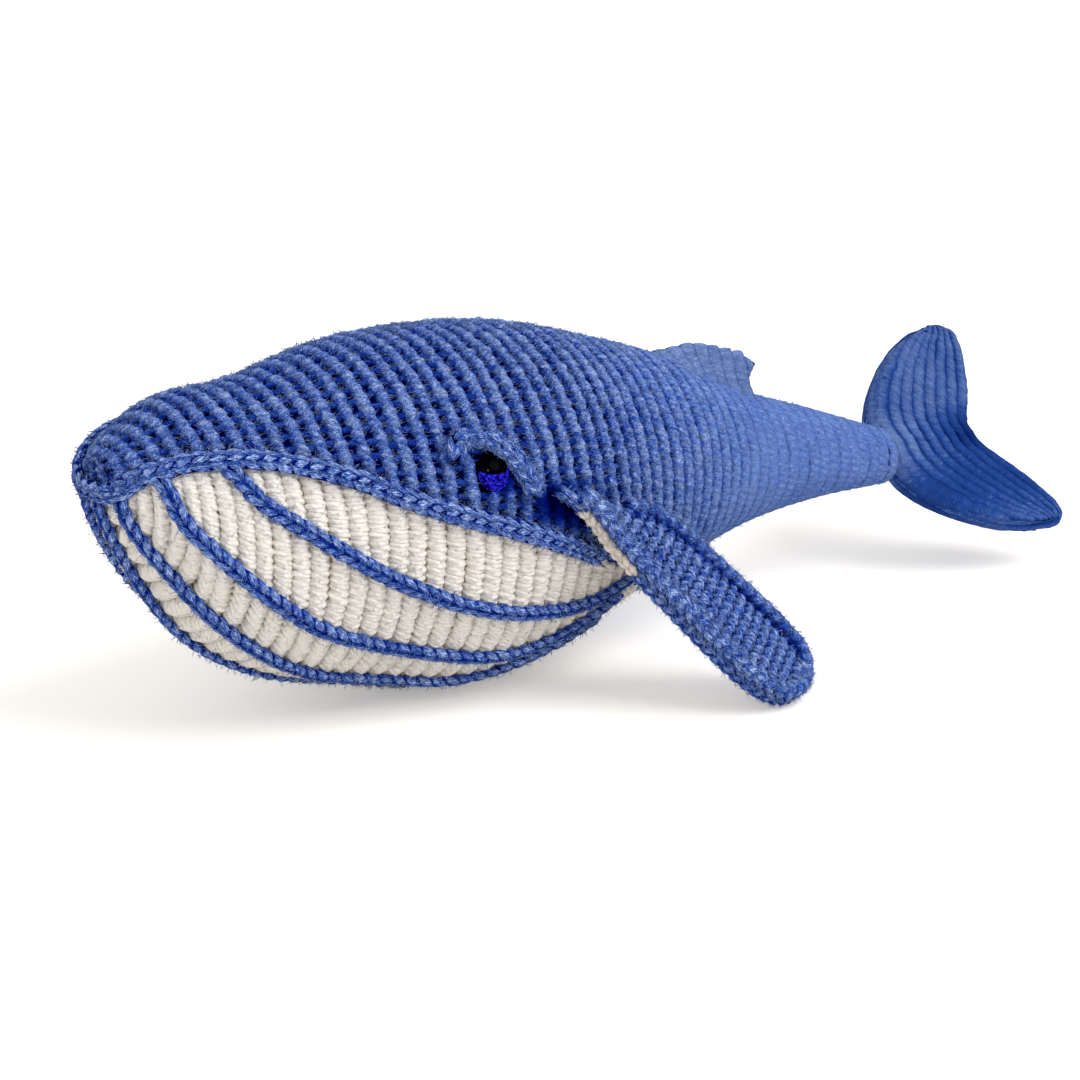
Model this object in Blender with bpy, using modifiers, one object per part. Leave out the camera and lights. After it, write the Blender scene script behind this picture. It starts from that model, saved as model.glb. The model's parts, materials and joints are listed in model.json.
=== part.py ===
"""A crocheted whale: a stuffed toy built from the pieces that it is sewn from.

The nose points to -Y, the tail to +Y and +Z is up. The origin is on the floor,
under the belly where the toy rests. All lengths are in metres.
"""

import math

import bmesh
import bpy
from mathutils import Matrix, Vector

# Body: the stuffed form from the nose to the end of the tail stock
BODY_LENGTH = 0.341
BODY_HEIGHT = 0.1206
BODY_WIDTH = 0.1066
NOSE_REACH = 0.1266
FABRIC = 0.004
SEAM_GAP = 0.0003
CUT_OVERRUN = 0.02

# Chains: the braided lines on the throat and along the mouth
CHAIN_WIDTH = 0.0054
CHAIN_HEIGHT = 0.0030
REST_FLAT_DEPTH = 0.0005

# Eyes: domes on ribbed stems, locked by washers inside the cover
EYE_DIAMETER = 0.012
EYE_HEIGHT = 0.0045
EYE_RIM = 0.0008
EYE_STEM_DIAMETER = 0.004
EYE_STEM_LENGTH = 0.011
WASHER_DIAMETER = 0.013
WASHER_THICKNESS = 0.0014
WASHER_SEAT_DEPTH = 0.0012
EYELID_WIDTH = 0.0058
EYELID_HEIGHT = 0.0042

# Flippers: two flat crochet layers with a raised chain round the edge
FLIPPER_LENGTH = 0.090
FLIPPER_REACH = 0.070
FLIPPER_LAYER = 0.0026
FLIPPER_EDGING = 0.0054
EDGING_CLEARANCE = 0.0010
FLIPPER_REST_ANGLE = math.radians(35.4)
FLIPPER_ROOT_SAG = 0.0006

# Dorsal fin: a folded piece sewn on edge along the back
DORSAL_LENGTH = 0.049
DORSAL_HEIGHT = 0.0145
DORSAL_THICKNESS = 0.007
DORSAL_SEAT = 0.0006

# Flukes: two layers sewn at the edges, turned a little to one side
FLUKE_SPAN = 0.096
FLUKE_LENGTH = 0.068
FLUKE_ROOT_THICKNESS = 0.016
FLUKE_TIP_THICKNESS = 0.009
FLUKE_BANK = math.radians(43.5)
FLUKE_LIFT = math.radians(12)
FLUKE_LIFT_ROUNDING = 0.010
FLUKE_SKEW = math.radians(3)

# Where each body section stands: along the body, its top, its bottom, its width
BODY_SHARES = (
    (0.00, 0.767, 0.767, 0.000),
    (0.03, 0.847, 0.507, 0.417),
    (0.08, 0.913, 0.296, 0.651),
    (0.16, 0.931, 0.143, 0.767),
    (0.26, 0.991, 0.060, 0.887),
    (0.36, 1.000, 0.000, 1.000),
    (0.46, 0.973, 0.027, 0.970),
    (0.56, 0.899, 0.105, 0.799),
    (0.66, 0.805, 0.184, 0.600),
    (0.76, 0.672, 0.250, 0.420),
    (0.88, 0.556, 0.278, 0.280),
    (1.00, 0.438, 0.272, 0.167),
)
NORMAL_STEP_SHARE = 0.001
POLE_SHARE = 0.0001
WELD_REACH = 0.00001

# The seam between back and belly, seen from the side: along the body, then height
SEAM_LINE_SHARES = (
    (-0.020, 0.700),
    (0.003, 0.712),
    (0.014, 0.745),
    (0.040, 0.778),
    (0.078, 0.790),
    (0.118, 0.776),
    (0.160, 0.745),
    (0.200, 0.706),
    (0.240, 0.650),
    (0.290, 0.590),
    (0.348, 0.530),
    (0.393, 0.478),
    (0.444, 0.414),
    (0.500, 0.330),
    (0.545, 0.250),
    (0.580, 0.160),
    (0.600, 0.050),
    (0.610, -0.100),
)
MOUTH_END_SHARE = 0.455

# Throat chains of one side: along the body, then the angle from the top in half turns
CENTRE_CHAIN_SHARES = (
    (0.006, 1.0), (0.03, 1.0), (0.08, 1.0), (0.16, 1.0), (0.26, 1.0), (0.36, 1.0), (0.46, 1.0), (0.565, 1.0),
)
SIDE_CHAIN_SHARES = (
    ((0.009, 0.640), (0.013, 0.705), (0.024, 0.750), (0.054, 0.765), (0.105, 0.794), (0.156, 0.828),
     (0.213, 0.855), (0.305, 0.855), (0.347, 0.840), (0.404, 0.817), (0.450, 0.790), (0.495, 0.760)),
    ((0.033, 0.380), (0.036, 0.425), (0.040, 0.480), (0.052, 0.535), (0.087, 0.594), (0.132, 0.644),
     (0.173, 0.683), (0.217, 0.711), (0.262, 0.733), (0.318, 0.744), (0.381, 0.755), (0.427, 0.748),
     (0.481, 0.731), (0.515, 0.712)),
    ((0.087, 0.333), (0.096, 0.370), (0.110, 0.408), (0.150, 0.461), (0.182, 0.505), (0.231, 0.567),
     (0.287, 0.611), (0.339, 0.633), (0.390, 0.652), (0.447, 0.672), (0.487, 0.675), (0.525, 0.669)),
)

# The eye and its lid: along the body, then the angle from the top in half turns
EYE_PLACE_SHARES = (0.330, 0.386)
EYELID_SHARES = (
    (0.290, 0.350), (0.297, 0.322), (0.317, 0.312), (0.338, 0.318), (0.357, 0.356), (0.372, 0.425),
)

# The root seam of a flipper, front and rear end
ROOT_FRONT_SHARES = (0.401, 0.433)
ROOT_REAR_SHARES = (0.502, 0.494)

# A flipper's outline from the front of its root round the tip: back along the seam, then outwards
FLIPPER_OUTLINE_SHARES = (
    (-0.230, 0.00), (-0.110, 0.11), (-0.040, 0.27), (0.070, 0.43), (0.190, 0.59), (0.300, 0.74),
    (0.440, 0.90), (0.565, 0.98), (0.670, 0.985), (0.770, 0.93), (0.840, 0.83), (0.865, 0.70),
    (0.770, 0.53), (0.620, 0.36), (0.455, 0.18), (0.325, 0.065), (0.210, 0.00), (0.080, 0.00),
)

# The dorsal fin: where it starts along the body, then its upper outline along its base and above the back
DORSAL_START_SHARE = 0.650
DORSAL_OUTLINE_SHARES = (
    (0.00, 0.02), (0.20, 0.36), (0.40, 0.72), (0.60, 0.92), (0.80, 1.00), (0.92, 0.95), (1.00, 0.80),
    (0.955, 0.58), (0.92, 0.30), (0.93, 0.02),
)

# Half of the flukes' outline: outwards, then back, for the leading and the trailing edge
FLUKE_LEAD_SHARES = (
    (0.00, 0.00), (0.20, 0.00), (0.27, 0.015), (0.38, 0.05), (0.50, 0.11), (0.62, 0.19), (0.77, 0.33),
    (0.90, 0.50), (0.98, 0.70), (1.00, 0.82),
)
FLUKE_TRAIL_SHARES = (
    (0.00, 0.74), (0.12, 0.75), (0.25, 0.81), (0.44, 0.90), (0.65, 0.96), (0.83, 0.98), (0.96, 0.94),
    (1.00, 0.88),
)
FLUKE_ROOT_SHARE = 0.20
FLUKE_SPAN_SHARES = (0.00, 0.10, 0.20, 0.27, 0.38, 0.50, 0.62, 0.77, 0.90, 0.97, 1.00)
FLUKE_CHORD_SHARES = (0.00, 0.04, 0.12, 0.28, 0.50, 0.75, 1.00)
FLUKE_EDGE_SHARE = 0.35
FLUKE_NOSE_SHARE = 0.12

# How finely the forms are divided
BODY_RINGS = 28
BODY_SIDES = 28
INNER_RINGS = 20
INNER_SIDES = 24
CHAIN_SIDES = 6
CHAIN_STEPS = 20
MOUTH_STEPS = 48
SEAM_SAMPLES = 240
HALVINGS = 40
EYELID_STEPS = 10
OUTLINE_STEPS = 3
DORSAL_BASE_STEPS = 8
DOME_STEPS = 6
TURN_STEPS = 20

# Heights that follow from the sizes above
REST_HEIGHT = CHAIN_HEIGHT + SEAM_GAP - REST_FLAT_DEPTH
ROOT_RADIUS = FLIPPER_LAYER + SEAM_GAP
FLUKE_ROOT_RADIUS = FLUKE_ROOT_THICKNESS / 2

# The plane seen from the side: a flat outline's own axes laid along Y and Z
SIDE_PLANE = Matrix(((0, 0, 1, 0), (1, 0, 0, 0), (0, 1, 0, 0), (0, 0, 0, 1)))

# Colours, linear
BLUE_YARN = (0.045, 0.085, 0.38, 1.0)
CREAM_YARN = (0.78, 0.73, 0.64, 1.0)
WHITE_FIBRE = (0.85, 0.85, 0.83, 1.0)
EYE_BLUE = (0.01, 0.01, 0.45, 1.0)
BLACK_PLASTIC = (0.02, 0.02, 0.02, 1.0)
YARN_ROUGHNESS = 0.9
EYE_ROUGHNESS = 0.1


def clear_scene():
    """Remove what the file holds, so that the model stands alone."""
    for item in list(bpy.data.objects):
        bpy.data.objects.remove(item, do_unlink=True)


def smooth_value(places, values, at):
    """Read a smooth curve through the values at their places."""
    last = len(places) - 1
    slopes = [(values[i + 1] - values[i]) / (places[i + 1] - places[i]) for i in range(last)]
    leans = [slopes[0]]
    for i in range(1, last):
        before = places[i] - places[i - 1]
        after = places[i + 1] - places[i]
        leans.append((slopes[i - 1] * after + slopes[i] * before) / (before + after))
    leans.append(slopes[-1])
    index = 0
    while index < last - 1 and at > places[index + 1]:
        index += 1
    span = places[index + 1] - places[index]
    part = (at - places[index]) / span
    rest = 1 - part
    return (values[index] * (1 + 2 * part) * rest ** 2
            + values[index + 1] * part ** 2 * (3 - 2 * part)
            + span * (leans[index] * part * rest ** 2 - leans[index + 1] * part ** 2 * rest))


def smooth_path(points, steps):
    """Sample a smooth curve through points of any number of coordinates."""
    places = list(range(len(points)))
    columns = [[point[axis] for point in points] for axis in range(len(points[0]))]
    count = (len(points) - 1) * steps
    return [tuple(smooth_value(places, column, place / steps) for column in columns)
            for place in range(count + 1)]


def even_path(points, count):
    """Sample a smooth curve through points at even steps of its parameter."""
    places = list(range(len(points)))
    columns = [[point[axis] for point in points] for axis in range(len(points[0]))]
    last = len(points) - 1
    return [tuple(smooth_value(places, column, last * i / count) for column in columns)
            for i in range(count + 1)]


def body_y(share):
    """Return the place along Y of a share of the body's length."""
    return share * BODY_LENGTH - NOSE_REACH


def body_section(share):
    """Return the middle height, half height and half width of one body section."""
    roots = [math.sqrt(row[0]) for row in BODY_SHARES]
    at = math.sqrt(min(max(share, 0.0), 1.0))
    top = smooth_value(roots, [row[1] for row in BODY_SHARES], at)
    bottom = smooth_value(roots, [row[2] for row in BODY_SHARES], at)
    width = smooth_value(roots, [row[3] for row in BODY_SHARES], at)
    middle = REST_HEIGHT + BODY_HEIGHT * (top + bottom) / 2
    return middle, BODY_HEIGHT * (top - bottom) / 2, BODY_WIDTH * width / 2


def body_surface(share, angle):
    """Return a point on the cover, at an angle from the top towards +X."""
    middle, half_height, half_width = body_section(share)
    return Vector((half_width * math.sin(angle), body_y(share), middle + half_height * math.cos(angle)))


def body_normal(share, angle):
    """Return the outward direction of the cover at a point."""
    before = max(share - NORMAL_STEP_SHARE, POLE_SHARE)
    after = min(share + NORMAL_STEP_SHARE, 1.0)
    along = body_surface(after, angle) - body_surface(before, angle)
    around = body_surface(share, angle + NORMAL_STEP_SHARE) - body_surface(share, angle - NORMAL_STEP_SHARE)
    return around.cross(along).normalized()


def body_point(share, angle, offset):
    """Return a point at a distance outside the cover, or inside if negative."""
    return body_surface(share, angle) + body_normal(share, angle) * offset


def seam_height(share):
    """Return the height of the seam between back and belly."""
    places = [row[0] for row in SEAM_LINE_SHARES]
    heights = [row[1] for row in SEAM_LINE_SHARES]
    return REST_HEIGHT + BODY_HEIGHT * smooth_value(places, heights, share)


def seam_angle(share):
    """Return the angle from the top at which the seam crosses a body section."""
    middle, half_height, _ = body_section(share)
    level = (seam_height(share) - middle) / half_height
    return math.acos(min(max(level, -1.0), 1.0))


def seam_front_share():
    """Return the share at which the seam crosses the middle of the snout."""
    near = POLE_SHARE
    far = SEAM_LINE_SHARES[2][0]
    for _ in range(HALVINGS):
        share = (near + far) / 2
        middle, half_height, _ = body_section(share)
        if seam_height(share) > middle - half_height:
            far = share
        else:
            near = share
    return far


def even_places(places, count):
    """Pick places on the cover at even distances along a line of places."""
    points = [body_surface(share, angle) for share, angle in places]
    reach = [0.0]
    for point, following in zip(points, points[1:]):
        reach.append(reach[-1] + (following - point).length)
    picked = []
    index = 0
    for i in range(count + 1):
        goal = reach[-1] * i / count
        while index < len(reach) - 2 and reach[index + 1] < goal:
            index += 1
        part = (goal - reach[index]) / (reach[index + 1] - reach[index])
        start, end = places[index], places[index + 1]
        picked.append(tuple(a + (b - a) * part for a, b in zip(start, end)))
    return picked


def new_collection(name):
    """Make a collection in the scene."""
    group = bpy.data.collections.new(name)
    bpy.context.scene.collection.children.link(group)
    return group


def finish(item, colour, roughness=YARN_ROUGHNESS):
    """Give an object its own material."""
    material = bpy.data.materials.new(item.name + "_finish")
    material.use_nodes = True
    shader = material.node_tree.nodes["Principled BSDF"]
    shader.inputs["Base Color"].default_value = colour
    shader.inputs["Roughness"].default_value = roughness
    shader.inputs["Metallic"].default_value = 0.0
    item.data.materials.append(material)
    return item


def mesh_object(name, form, group):
    """Turn a bmesh into an object with its faces pointing out."""
    bmesh.ops.recalc_face_normals(form, faces=form.faces)
    mesh = bpy.data.meshes.new(name)
    form.to_mesh(mesh)
    form.free()
    mesh.shade_smooth()
    item = bpy.data.objects.new(name, mesh)
    group.objects.link(item)
    return item


def loft(name, rings, group, pole=None):
    """Skin closed rings of equal count, with a pole or a cap before the first ring."""
    form = bmesh.new()
    rows = [[form.verts.new(point) for point in ring] for ring in rings]
    for row, following in zip(rows, rows[1:]):
        for i, corner in enumerate(row):
            after = (i + 1) % len(row)
            form.faces.new((corner, row[after], following[after], following[i]))
    if pole is None:
        form.faces.new(rows[0])
    else:
        tip = form.verts.new(pole)
        for i, corner in enumerate(rows[0]):
            form.faces.new((tip, rows[0][(i + 1) % len(rows[0])], corner))
    form.faces.new(rows[-1])
    return mesh_object(name, form, group)


def flat_chain(name, points, outwards, width, height, group):
    """Lay a flattened cord along points, its flat side square to the outward directions."""
    rings = []
    last = len(points) - 1
    for i, (point, outward) in enumerate(zip(points, outwards)):
        along = (points[min(i + 1, last)] - points[max(i - 1, 0)]).normalized()
        side = along.cross(outward).normalized()
        lift = side.cross(along).normalized()
        ring = []
        for k in range(CHAIN_SIDES):
            turn = 2 * math.pi * k / CHAIN_SIDES
            ring.append(point + side * (math.cos(turn) * width / 2) + lift * (math.sin(turn) * height / 2))
        rings.append(ring)
    return loft(name, rings, group)


def surface_chain(name, places, width, height, group):
    """Lay a flattened cord on the cover, through places of body share and angle."""
    offset = SEAM_GAP + height / 2
    points = [body_point(share, angle, offset) for share, angle in places]
    outwards = [body_normal(share, angle) for share, angle in places]
    return flat_chain(name, points, outwards, width, height, group)


def body_form(name, inset, rings, sides, group):
    """Make the closed stuffed form, pulled in from the cover by an inset."""
    end_share = 1 - inset / BODY_LENGTH
    sections = []
    for i in range(1, rings + 1):
        share = end_share * (i / rings) ** 2
        sections.append([body_point(share, 2 * math.pi * k / sides, -inset) for k in range(sides)])
    nose = body_surface(0.0, 0.0) + Vector((0.0, inset, 0.0))
    return loft(name, sections, group, pole=nose)


def cut(item, cutter, operation="DIFFERENCE"):
    """Cut an object by another one."""
    step = item.modifiers.new(operation.lower() + "_" + cutter.name, "BOOLEAN")
    step.operation = operation
    step.object = cutter
    step.solver = "EXACT"
    return step


def as_cutter(item):
    """Mark an object as a cutter or guide that is not part of the toy."""
    item.hide_render = True
    item.display_type = "WIRE"
    return item


def flat_outline(name, outline, thickness, group):
    """Fill a flat outline and give it a thickness, as one welded mesh in its own plane."""
    curve = bpy.data.curves.new(name + "_outline", "CURVE")
    curve.dimensions = "2D"
    curve.fill_mode = "BOTH"
    curve.extrude = thickness / 2
    spline = curve.splines.new("POLY")
    spline.points.add(len(outline) - 1)
    for point, (x, y) in zip(spline.points, outline):
        point.co = (x, y, 0.0, 1.0)
    spline.use_cyclic_u = True
    guide = bpy.data.objects.new(name + "_guide", curve)
    group.objects.link(guide)
    evaluated = guide.evaluated_get(bpy.context.evaluated_depsgraph_get())
    mesh = bpy.data.meshes.new_from_object(evaluated)
    form = bmesh.new()
    form.from_mesh(mesh)
    bmesh.ops.remove_doubles(form, verts=form.verts, dist=WELD_REACH)
    bpy.data.objects.remove(guide, do_unlink=True)
    bpy.data.curves.remove(curve)
    bpy.data.meshes.remove(mesh)
    return mesh_object(name, form, group)


def seam_cutter(name, shift, group):
    """Make the block below the seam line, moved up by a shift."""
    outline = [(body_y(share), REST_HEIGHT + BODY_HEIGHT * height + shift)
               for share, height in smooth_path(SEAM_LINE_SHARES, OUTLINE_STEPS)]
    last_y = outline[-1][0]
    first_y = outline[0][0]
    outline += [(last_y, -CUT_OVERRUN), (first_y, -CUT_OVERRUN)]
    block = flat_outline(name, outline, BODY_WIDTH + CUT_OVERRUN, group)
    block.matrix_world = SIDE_PLANE
    return as_cutter(block)


def turned(name, profile, place, outward, group):
    """Turn a profile of radius and height about an axis that points outwards."""
    mesh = bpy.data.meshes.new(name)
    corners = [(radius, 0.0, height) for radius, height in profile]
    edges = [(i, i + 1) for i in range(len(corners) - 1)]
    if profile[0][0] > 0:
        edges.append((len(corners) - 1, 0))
    mesh.from_pydata(corners, edges, [])
    item = bpy.data.objects.new(name, mesh)
    group.objects.link(item)
    spin = item.modifiers.new("turn", "SCREW")
    spin.steps = TURN_STEPS
    spin.render_steps = TURN_STEPS
    spin.use_merge_vertices = True
    spin.merge_threshold = WELD_REACH
    spin.use_smooth_shade = True
    item.matrix_world = Matrix.Translation(place) @ outward.to_track_quat("Z", "Y").to_matrix().to_4x4()
    return item


def build_body(parts, cutters):
    """Make the two cover panels and the stuffing between them."""
    outer_back = body_form("back_panel", 0.0, BODY_RINGS, BODY_SIDES, parts)
    outer_belly = body_form("belly_panel", 0.0, BODY_RINGS, BODY_SIDES, parts)
    hollow = as_cutter(body_form("body_hollow", FABRIC, INNER_RINGS, INNER_SIDES, cutters))
    below = seam_cutter("belly_side_of_seam", -SEAM_GAP / 2, cutters)
    above = seam_cutter("back_side_of_seam", SEAM_GAP / 2, cutters)
    cut(outer_back, above)
    cut(outer_back, hollow)
    cut(outer_belly, below, "INTERSECT")
    cut(outer_belly, hollow)
    stuffing = body_form("body_stuffing", FABRIC + SEAM_GAP, INNER_RINGS, INNER_SIDES, parts)
    finish(outer_back, BLUE_YARN)
    finish(outer_belly, CREAM_YARN)
    finish(stuffing, WHITE_FIBRE)
    return outer_back, stuffing


def build_chains(parts, cutters):
    """Make the mouth chain and the seven throat chains."""
    front = seam_front_share()
    run = MOUTH_END_SHARE - front
    shares = [front + run * (i / SEAM_SAMPLES) ** 3 for i in range(SEAM_SAMPLES, 0, -1)]
    left = [(share, seam_angle(share)) for share in shares]
    right = [(share, 2 * math.pi - angle) for share, angle in reversed(left)]
    mouth = even_places(left + [(front, math.pi)] + right, MOUTH_STEPS)
    finish(surface_chain("mouth_chain", mouth, CHAIN_WIDTH, CHAIN_HEIGHT, parts), BLUE_YARN)
    places = [(share, math.pi * turn) for share, turn in even_path(CENTRE_CHAIN_SHARES, CHAIN_STEPS)]
    centre = surface_chain("throat_chain_centre", places, CHAIN_WIDTH, CHAIN_HEIGHT, parts)
    finish(centre, BLUE_YARN)
    floor = bmesh.new()
    bmesh.ops.create_cube(floor, size=1.0)
    size = Vector((BODY_WIDTH, BODY_LENGTH, CUT_OVERRUN))
    bmesh.ops.scale(floor, vec=size, verts=floor.verts)
    bmesh.ops.translate(floor, vec=(0.0, 0.0, -CUT_OVERRUN / 2), verts=floor.verts)
    cut(centre, as_cutter(mesh_object("floor_block", floor, cutters)))
    for number, row in enumerate(SIDE_CHAIN_SHARES, start=1):
        for side, sign in (("left", 1), ("right", -1)):
            places = [(share, sign * math.pi * turn) for share, turn in even_path(row, CHAIN_STEPS)]
            name = "throat_chain_" + side + "_" + str(number)
            finish(surface_chain(name, places, CHAIN_WIDTH, CHAIN_HEIGHT, parts), BLUE_YARN)


def build_eye(side, sign, back, stuffing, parts, cutters):
    """Make one eye with its washer and lid, and the holes that they need."""
    share, half_turns = EYE_PLACE_SHARES
    angle = sign * math.pi * half_turns
    place = body_surface(share, angle)
    outward = body_normal(share, angle)
    radius = EYE_DIAMETER / 2
    stem = EYE_STEM_DIAMETER / 2
    dome = EYE_HEIGHT - EYE_RIM
    turns = [math.pi / 2 * i / DOME_STEPS for i in range(DOME_STEPS + 1)]
    profile = [(radius * math.sin(turn), EYE_RIM + SEAM_GAP + dome * math.cos(turn)) for turn in turns]
    profile += [(radius, SEAM_GAP), (stem, SEAM_GAP), (stem, -EYE_STEM_LENGTH), (0.0, -EYE_STEM_LENGTH)]
    finish(turned(side + "_eye", profile, place, outward, parts), EYE_BLUE, EYE_ROUGHNESS)
    top = -FABRIC - WASHER_SEAT_DEPTH
    hole = stem + SEAM_GAP
    ring = [(WASHER_DIAMETER / 2, top), (WASHER_DIAMETER / 2, top - WASHER_THICKNESS),
            (hole, top - WASHER_THICKNESS), (hole, top)]
    finish(turned(side + "_eye_washer", ring, place, outward, parts), BLACK_PLASTIC, EYE_ROUGHNESS)
    depth = -EYE_STEM_LENGTH - SEAM_GAP
    bore = [(0.0, FABRIC), (hole, FABRIC), (hole, depth), (0.0, depth)]
    cutter = as_cutter(turned(side + "_stem_bore", bore, place, outward, cutters))
    cut(back, cutter)
    cut(stuffing, cutter)
    pocket_radius = WASHER_DIAMETER / 2 + SEAM_GAP
    floor = top - WASHER_THICKNESS - SEAM_GAP
    pocket = [(0.0, FABRIC), (pocket_radius, FABRIC), (pocket_radius, floor), (0.0, floor)]
    cut(stuffing, as_cutter(turned(side + "_washer_pocket", pocket, place, outward, cutters)))
    lid = [(lid_share, sign * math.pi * lid_turn)
           for lid_share, lid_turn in even_path(EYELID_SHARES, EYELID_STEPS)]
    finish(surface_chain(side + "_eyelid", lid, EYELID_WIDTH, EYELID_HEIGHT, parts), BLUE_YARN)


def hinge_frame(sign):
    """Return the frame of a flipper root: out along the blade, back along the seam, up from its face."""
    clear = ROOT_RADIUS + SEAM_GAP + FLIPPER_ROOT_SAG
    front_share, front_turn = ROOT_FRONT_SHARES
    rear_share, rear_turn = ROOT_REAR_SHARES
    front = body_point(front_share, math.pi * front_turn, clear)
    rear = body_point(rear_share, math.pi * rear_turn, clear)
    seam = (rear - front).normalized()
    away = (body_normal(front_share, math.pi * front_turn) + body_normal(rear_share, math.pi * rear_turn))
    away = (away - seam * away.dot(seam)).normalized()
    down = seam.cross(away)
    if down.z > 0:
        down.negate()
    blade = down * math.cos(FLIPPER_REST_ANGLE) + away * math.sin(FLIPPER_REST_ANGLE)
    face = blade.cross(seam)
    middle = (front + rear) / 2
    if sign < 0:
        blade, face = Vector((-blade.x, blade.y, blade.z)), Vector((-face.x, face.y, face.z))
        seam = Vector((seam.x, -seam.y, -seam.z))
        middle = Vector((-middle.x, middle.y, middle.z))
    frame = Matrix((blade, seam, face)).transposed().to_4x4()
    return Matrix.Translation(middle) @ frame


def inset_outline(points, inset):
    """Pull an open outline in towards its inner side, by moving each point square to the path."""
    moved = []
    last = len(points) - 1
    for i, point in enumerate(points):
        ahead = Vector(points[min(i + 1, last)])
        behind = Vector(points[max(i - 1, 0)])
        along = (ahead - behind).normalized()
        moved.append((point[0] - along.y * inset, point[1] + along.x * inset))
    return moved


def flipper_outline(sign, inset):
    """Return a flipper's open outline in its hinge frame, pulled in by an inset."""
    path = [(outwards * FLIPPER_REACH, back * FLIPPER_LENGTH)
            for back, outwards in smooth_path(FLIPPER_OUTLINE_SHARES, OUTLINE_STEPS)]
    end = path[-1][1]
    path = [(max(x, 0.0), y) for x, y in inset_outline(path, inset)]
    path[-1] = (inset, end)
    path.append((0.0, end - EDGING_CLEARANCE))
    return [(x, sign * y) for x, y in path]


def build_flipper(side, sign, parts):
    """Make the two layers and the edging of one flipper, on its hinge."""
    hinge = bpy.data.objects.new(side + "_flipper_hinge", None)
    parts.objects.link(hinge)
    hinge.matrix_world = hinge_frame(sign)
    bpy.context.view_layer.update()
    lining = flat_outline(side + "_flipper_lining", flipper_outline(sign, 0.0), FLIPPER_LAYER, parts)
    face = flat_outline(side + "_flipper_top", flipper_outline(sign, FLIPPER_EDGING + EDGING_CLEARANCE),
                        FLIPPER_LAYER, parts)
    lining.location = (0.0, 0.0, -(FLIPPER_LAYER + SEAM_GAP) / 2)
    face.location = (0.0, 0.0, (FLIPPER_LAYER + SEAM_GAP) / 2)
    curve = bpy.data.curves.new(side + "_flipper_edging", "CURVE")
    curve.dimensions = "3D"
    curve.bevel_depth = FLIPPER_EDGING / 2
    curve.bevel_resolution = 1
    curve.use_fill_caps = True
    path = flipper_outline(sign, FLIPPER_EDGING / 2)
    path = [point for point in path if point[0] > FLIPPER_EDGING / 2 - WELD_REACH]
    spline = curve.splines.new("POLY")
    spline.points.add(len(path) - 1)
    for point, (x, y) in zip(spline.points, path):
        point.co = (x, y, 0.0, 1.0)
    edging = bpy.data.objects.new(side + "_flipper_edging", curve)
    parts.objects.link(edging)
    edging.location = (0.0, 0.0, (FLIPPER_EDGING + SEAM_GAP) / 2)
    for item in (lining, face, edging):
        item.parent = hinge
    finish(lining, CREAM_YARN)
    finish(face, BLUE_YARN)
    finish(edging, BLUE_YARN)


def build_dorsal_fin(parts):
    """Make the hooked fin that stands on edge on the back."""
    outline = []
    for along, height in smooth_path(DORSAL_OUTLINE_SHARES, OUTLINE_STEPS):
        share = DORSAL_START_SHARE + along * DORSAL_LENGTH / BODY_LENGTH
        back = body_point(share, 0.0, DORSAL_SEAT)
        outline.append((back.y, back.z + height * DORSAL_HEIGHT))
    for i in range(DORSAL_BASE_STEPS, 0, -1):
        along = DORSAL_OUTLINE_SHARES[-1][0] * i / DORSAL_BASE_STEPS
        back = body_point(DORSAL_START_SHARE + along * DORSAL_LENGTH / BODY_LENGTH, 0.0, DORSAL_SEAT)
        outline.append((back.y, back.z))
    fin = flat_outline("dorsal_fin", outline, DORSAL_THICKNESS, parts)
    fin.matrix_world = SIDE_PLANE
    finish(fin, BLUE_YARN)


def fluke_ring(outwards, level, hinge_reach):
    """Return one section of a fluke layer, above or below the middle seam."""
    distance = abs(outwards)
    lead, trail = [smooth_value([row[0] for row in edge], [row[1] for row in edge], distance)
                   for edge in (FLUKE_LEAD_SHARES, FLUKE_TRAIL_SHARES)]
    thickness = FLUKE_ROOT_THICKNESS + (FLUKE_TIP_THICKNESS - FLUKE_ROOT_THICKNESS) * distance
    span = outwards * FLUKE_SPAN / 2
    beyond_root = max(distance - FLUKE_ROOT_SHARE, 0.0) * FLUKE_SPAN / 2
    lift = (math.hypot(beyond_root, FLUKE_LIFT_ROUNDING) - FLUKE_LIFT_ROUNDING) * math.tan(FLUKE_LIFT)
    askew = beyond_root * math.tan(FLUKE_SKEW)
    front = lead * FLUKE_LENGTH - math.copysign(askew, outwards)
    chord = max(trail - lead, 0.0) * FLUKE_LENGTH
    nose = min(FLUKE_ROOT_RADIUS, chord / 2)
    outer = []
    inner = []
    for part in FLUKE_CHORD_SHARES:
        x = part * chord
        if x < nose:
            swell = math.sqrt(1 - (1 - x / nose) ** 2)
        else:
            fall = (x - nose) / (chord - nose)
            swell = 1 - (1 - FLUKE_EDGE_SHARE) * fall ** 2
        swell = max(swell, FLUKE_NOSE_SHARE)
        height = SEAM_GAP / 2 + (thickness / 2 - SEAM_GAP / 2) * swell
        y = front + x - hinge_reach
        outer.append(Vector((span, y, lift + level * height)))
        inner.append(Vector((span, y, lift + level * SEAM_GAP / 2)))
    return outer + inner[::-1]


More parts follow.
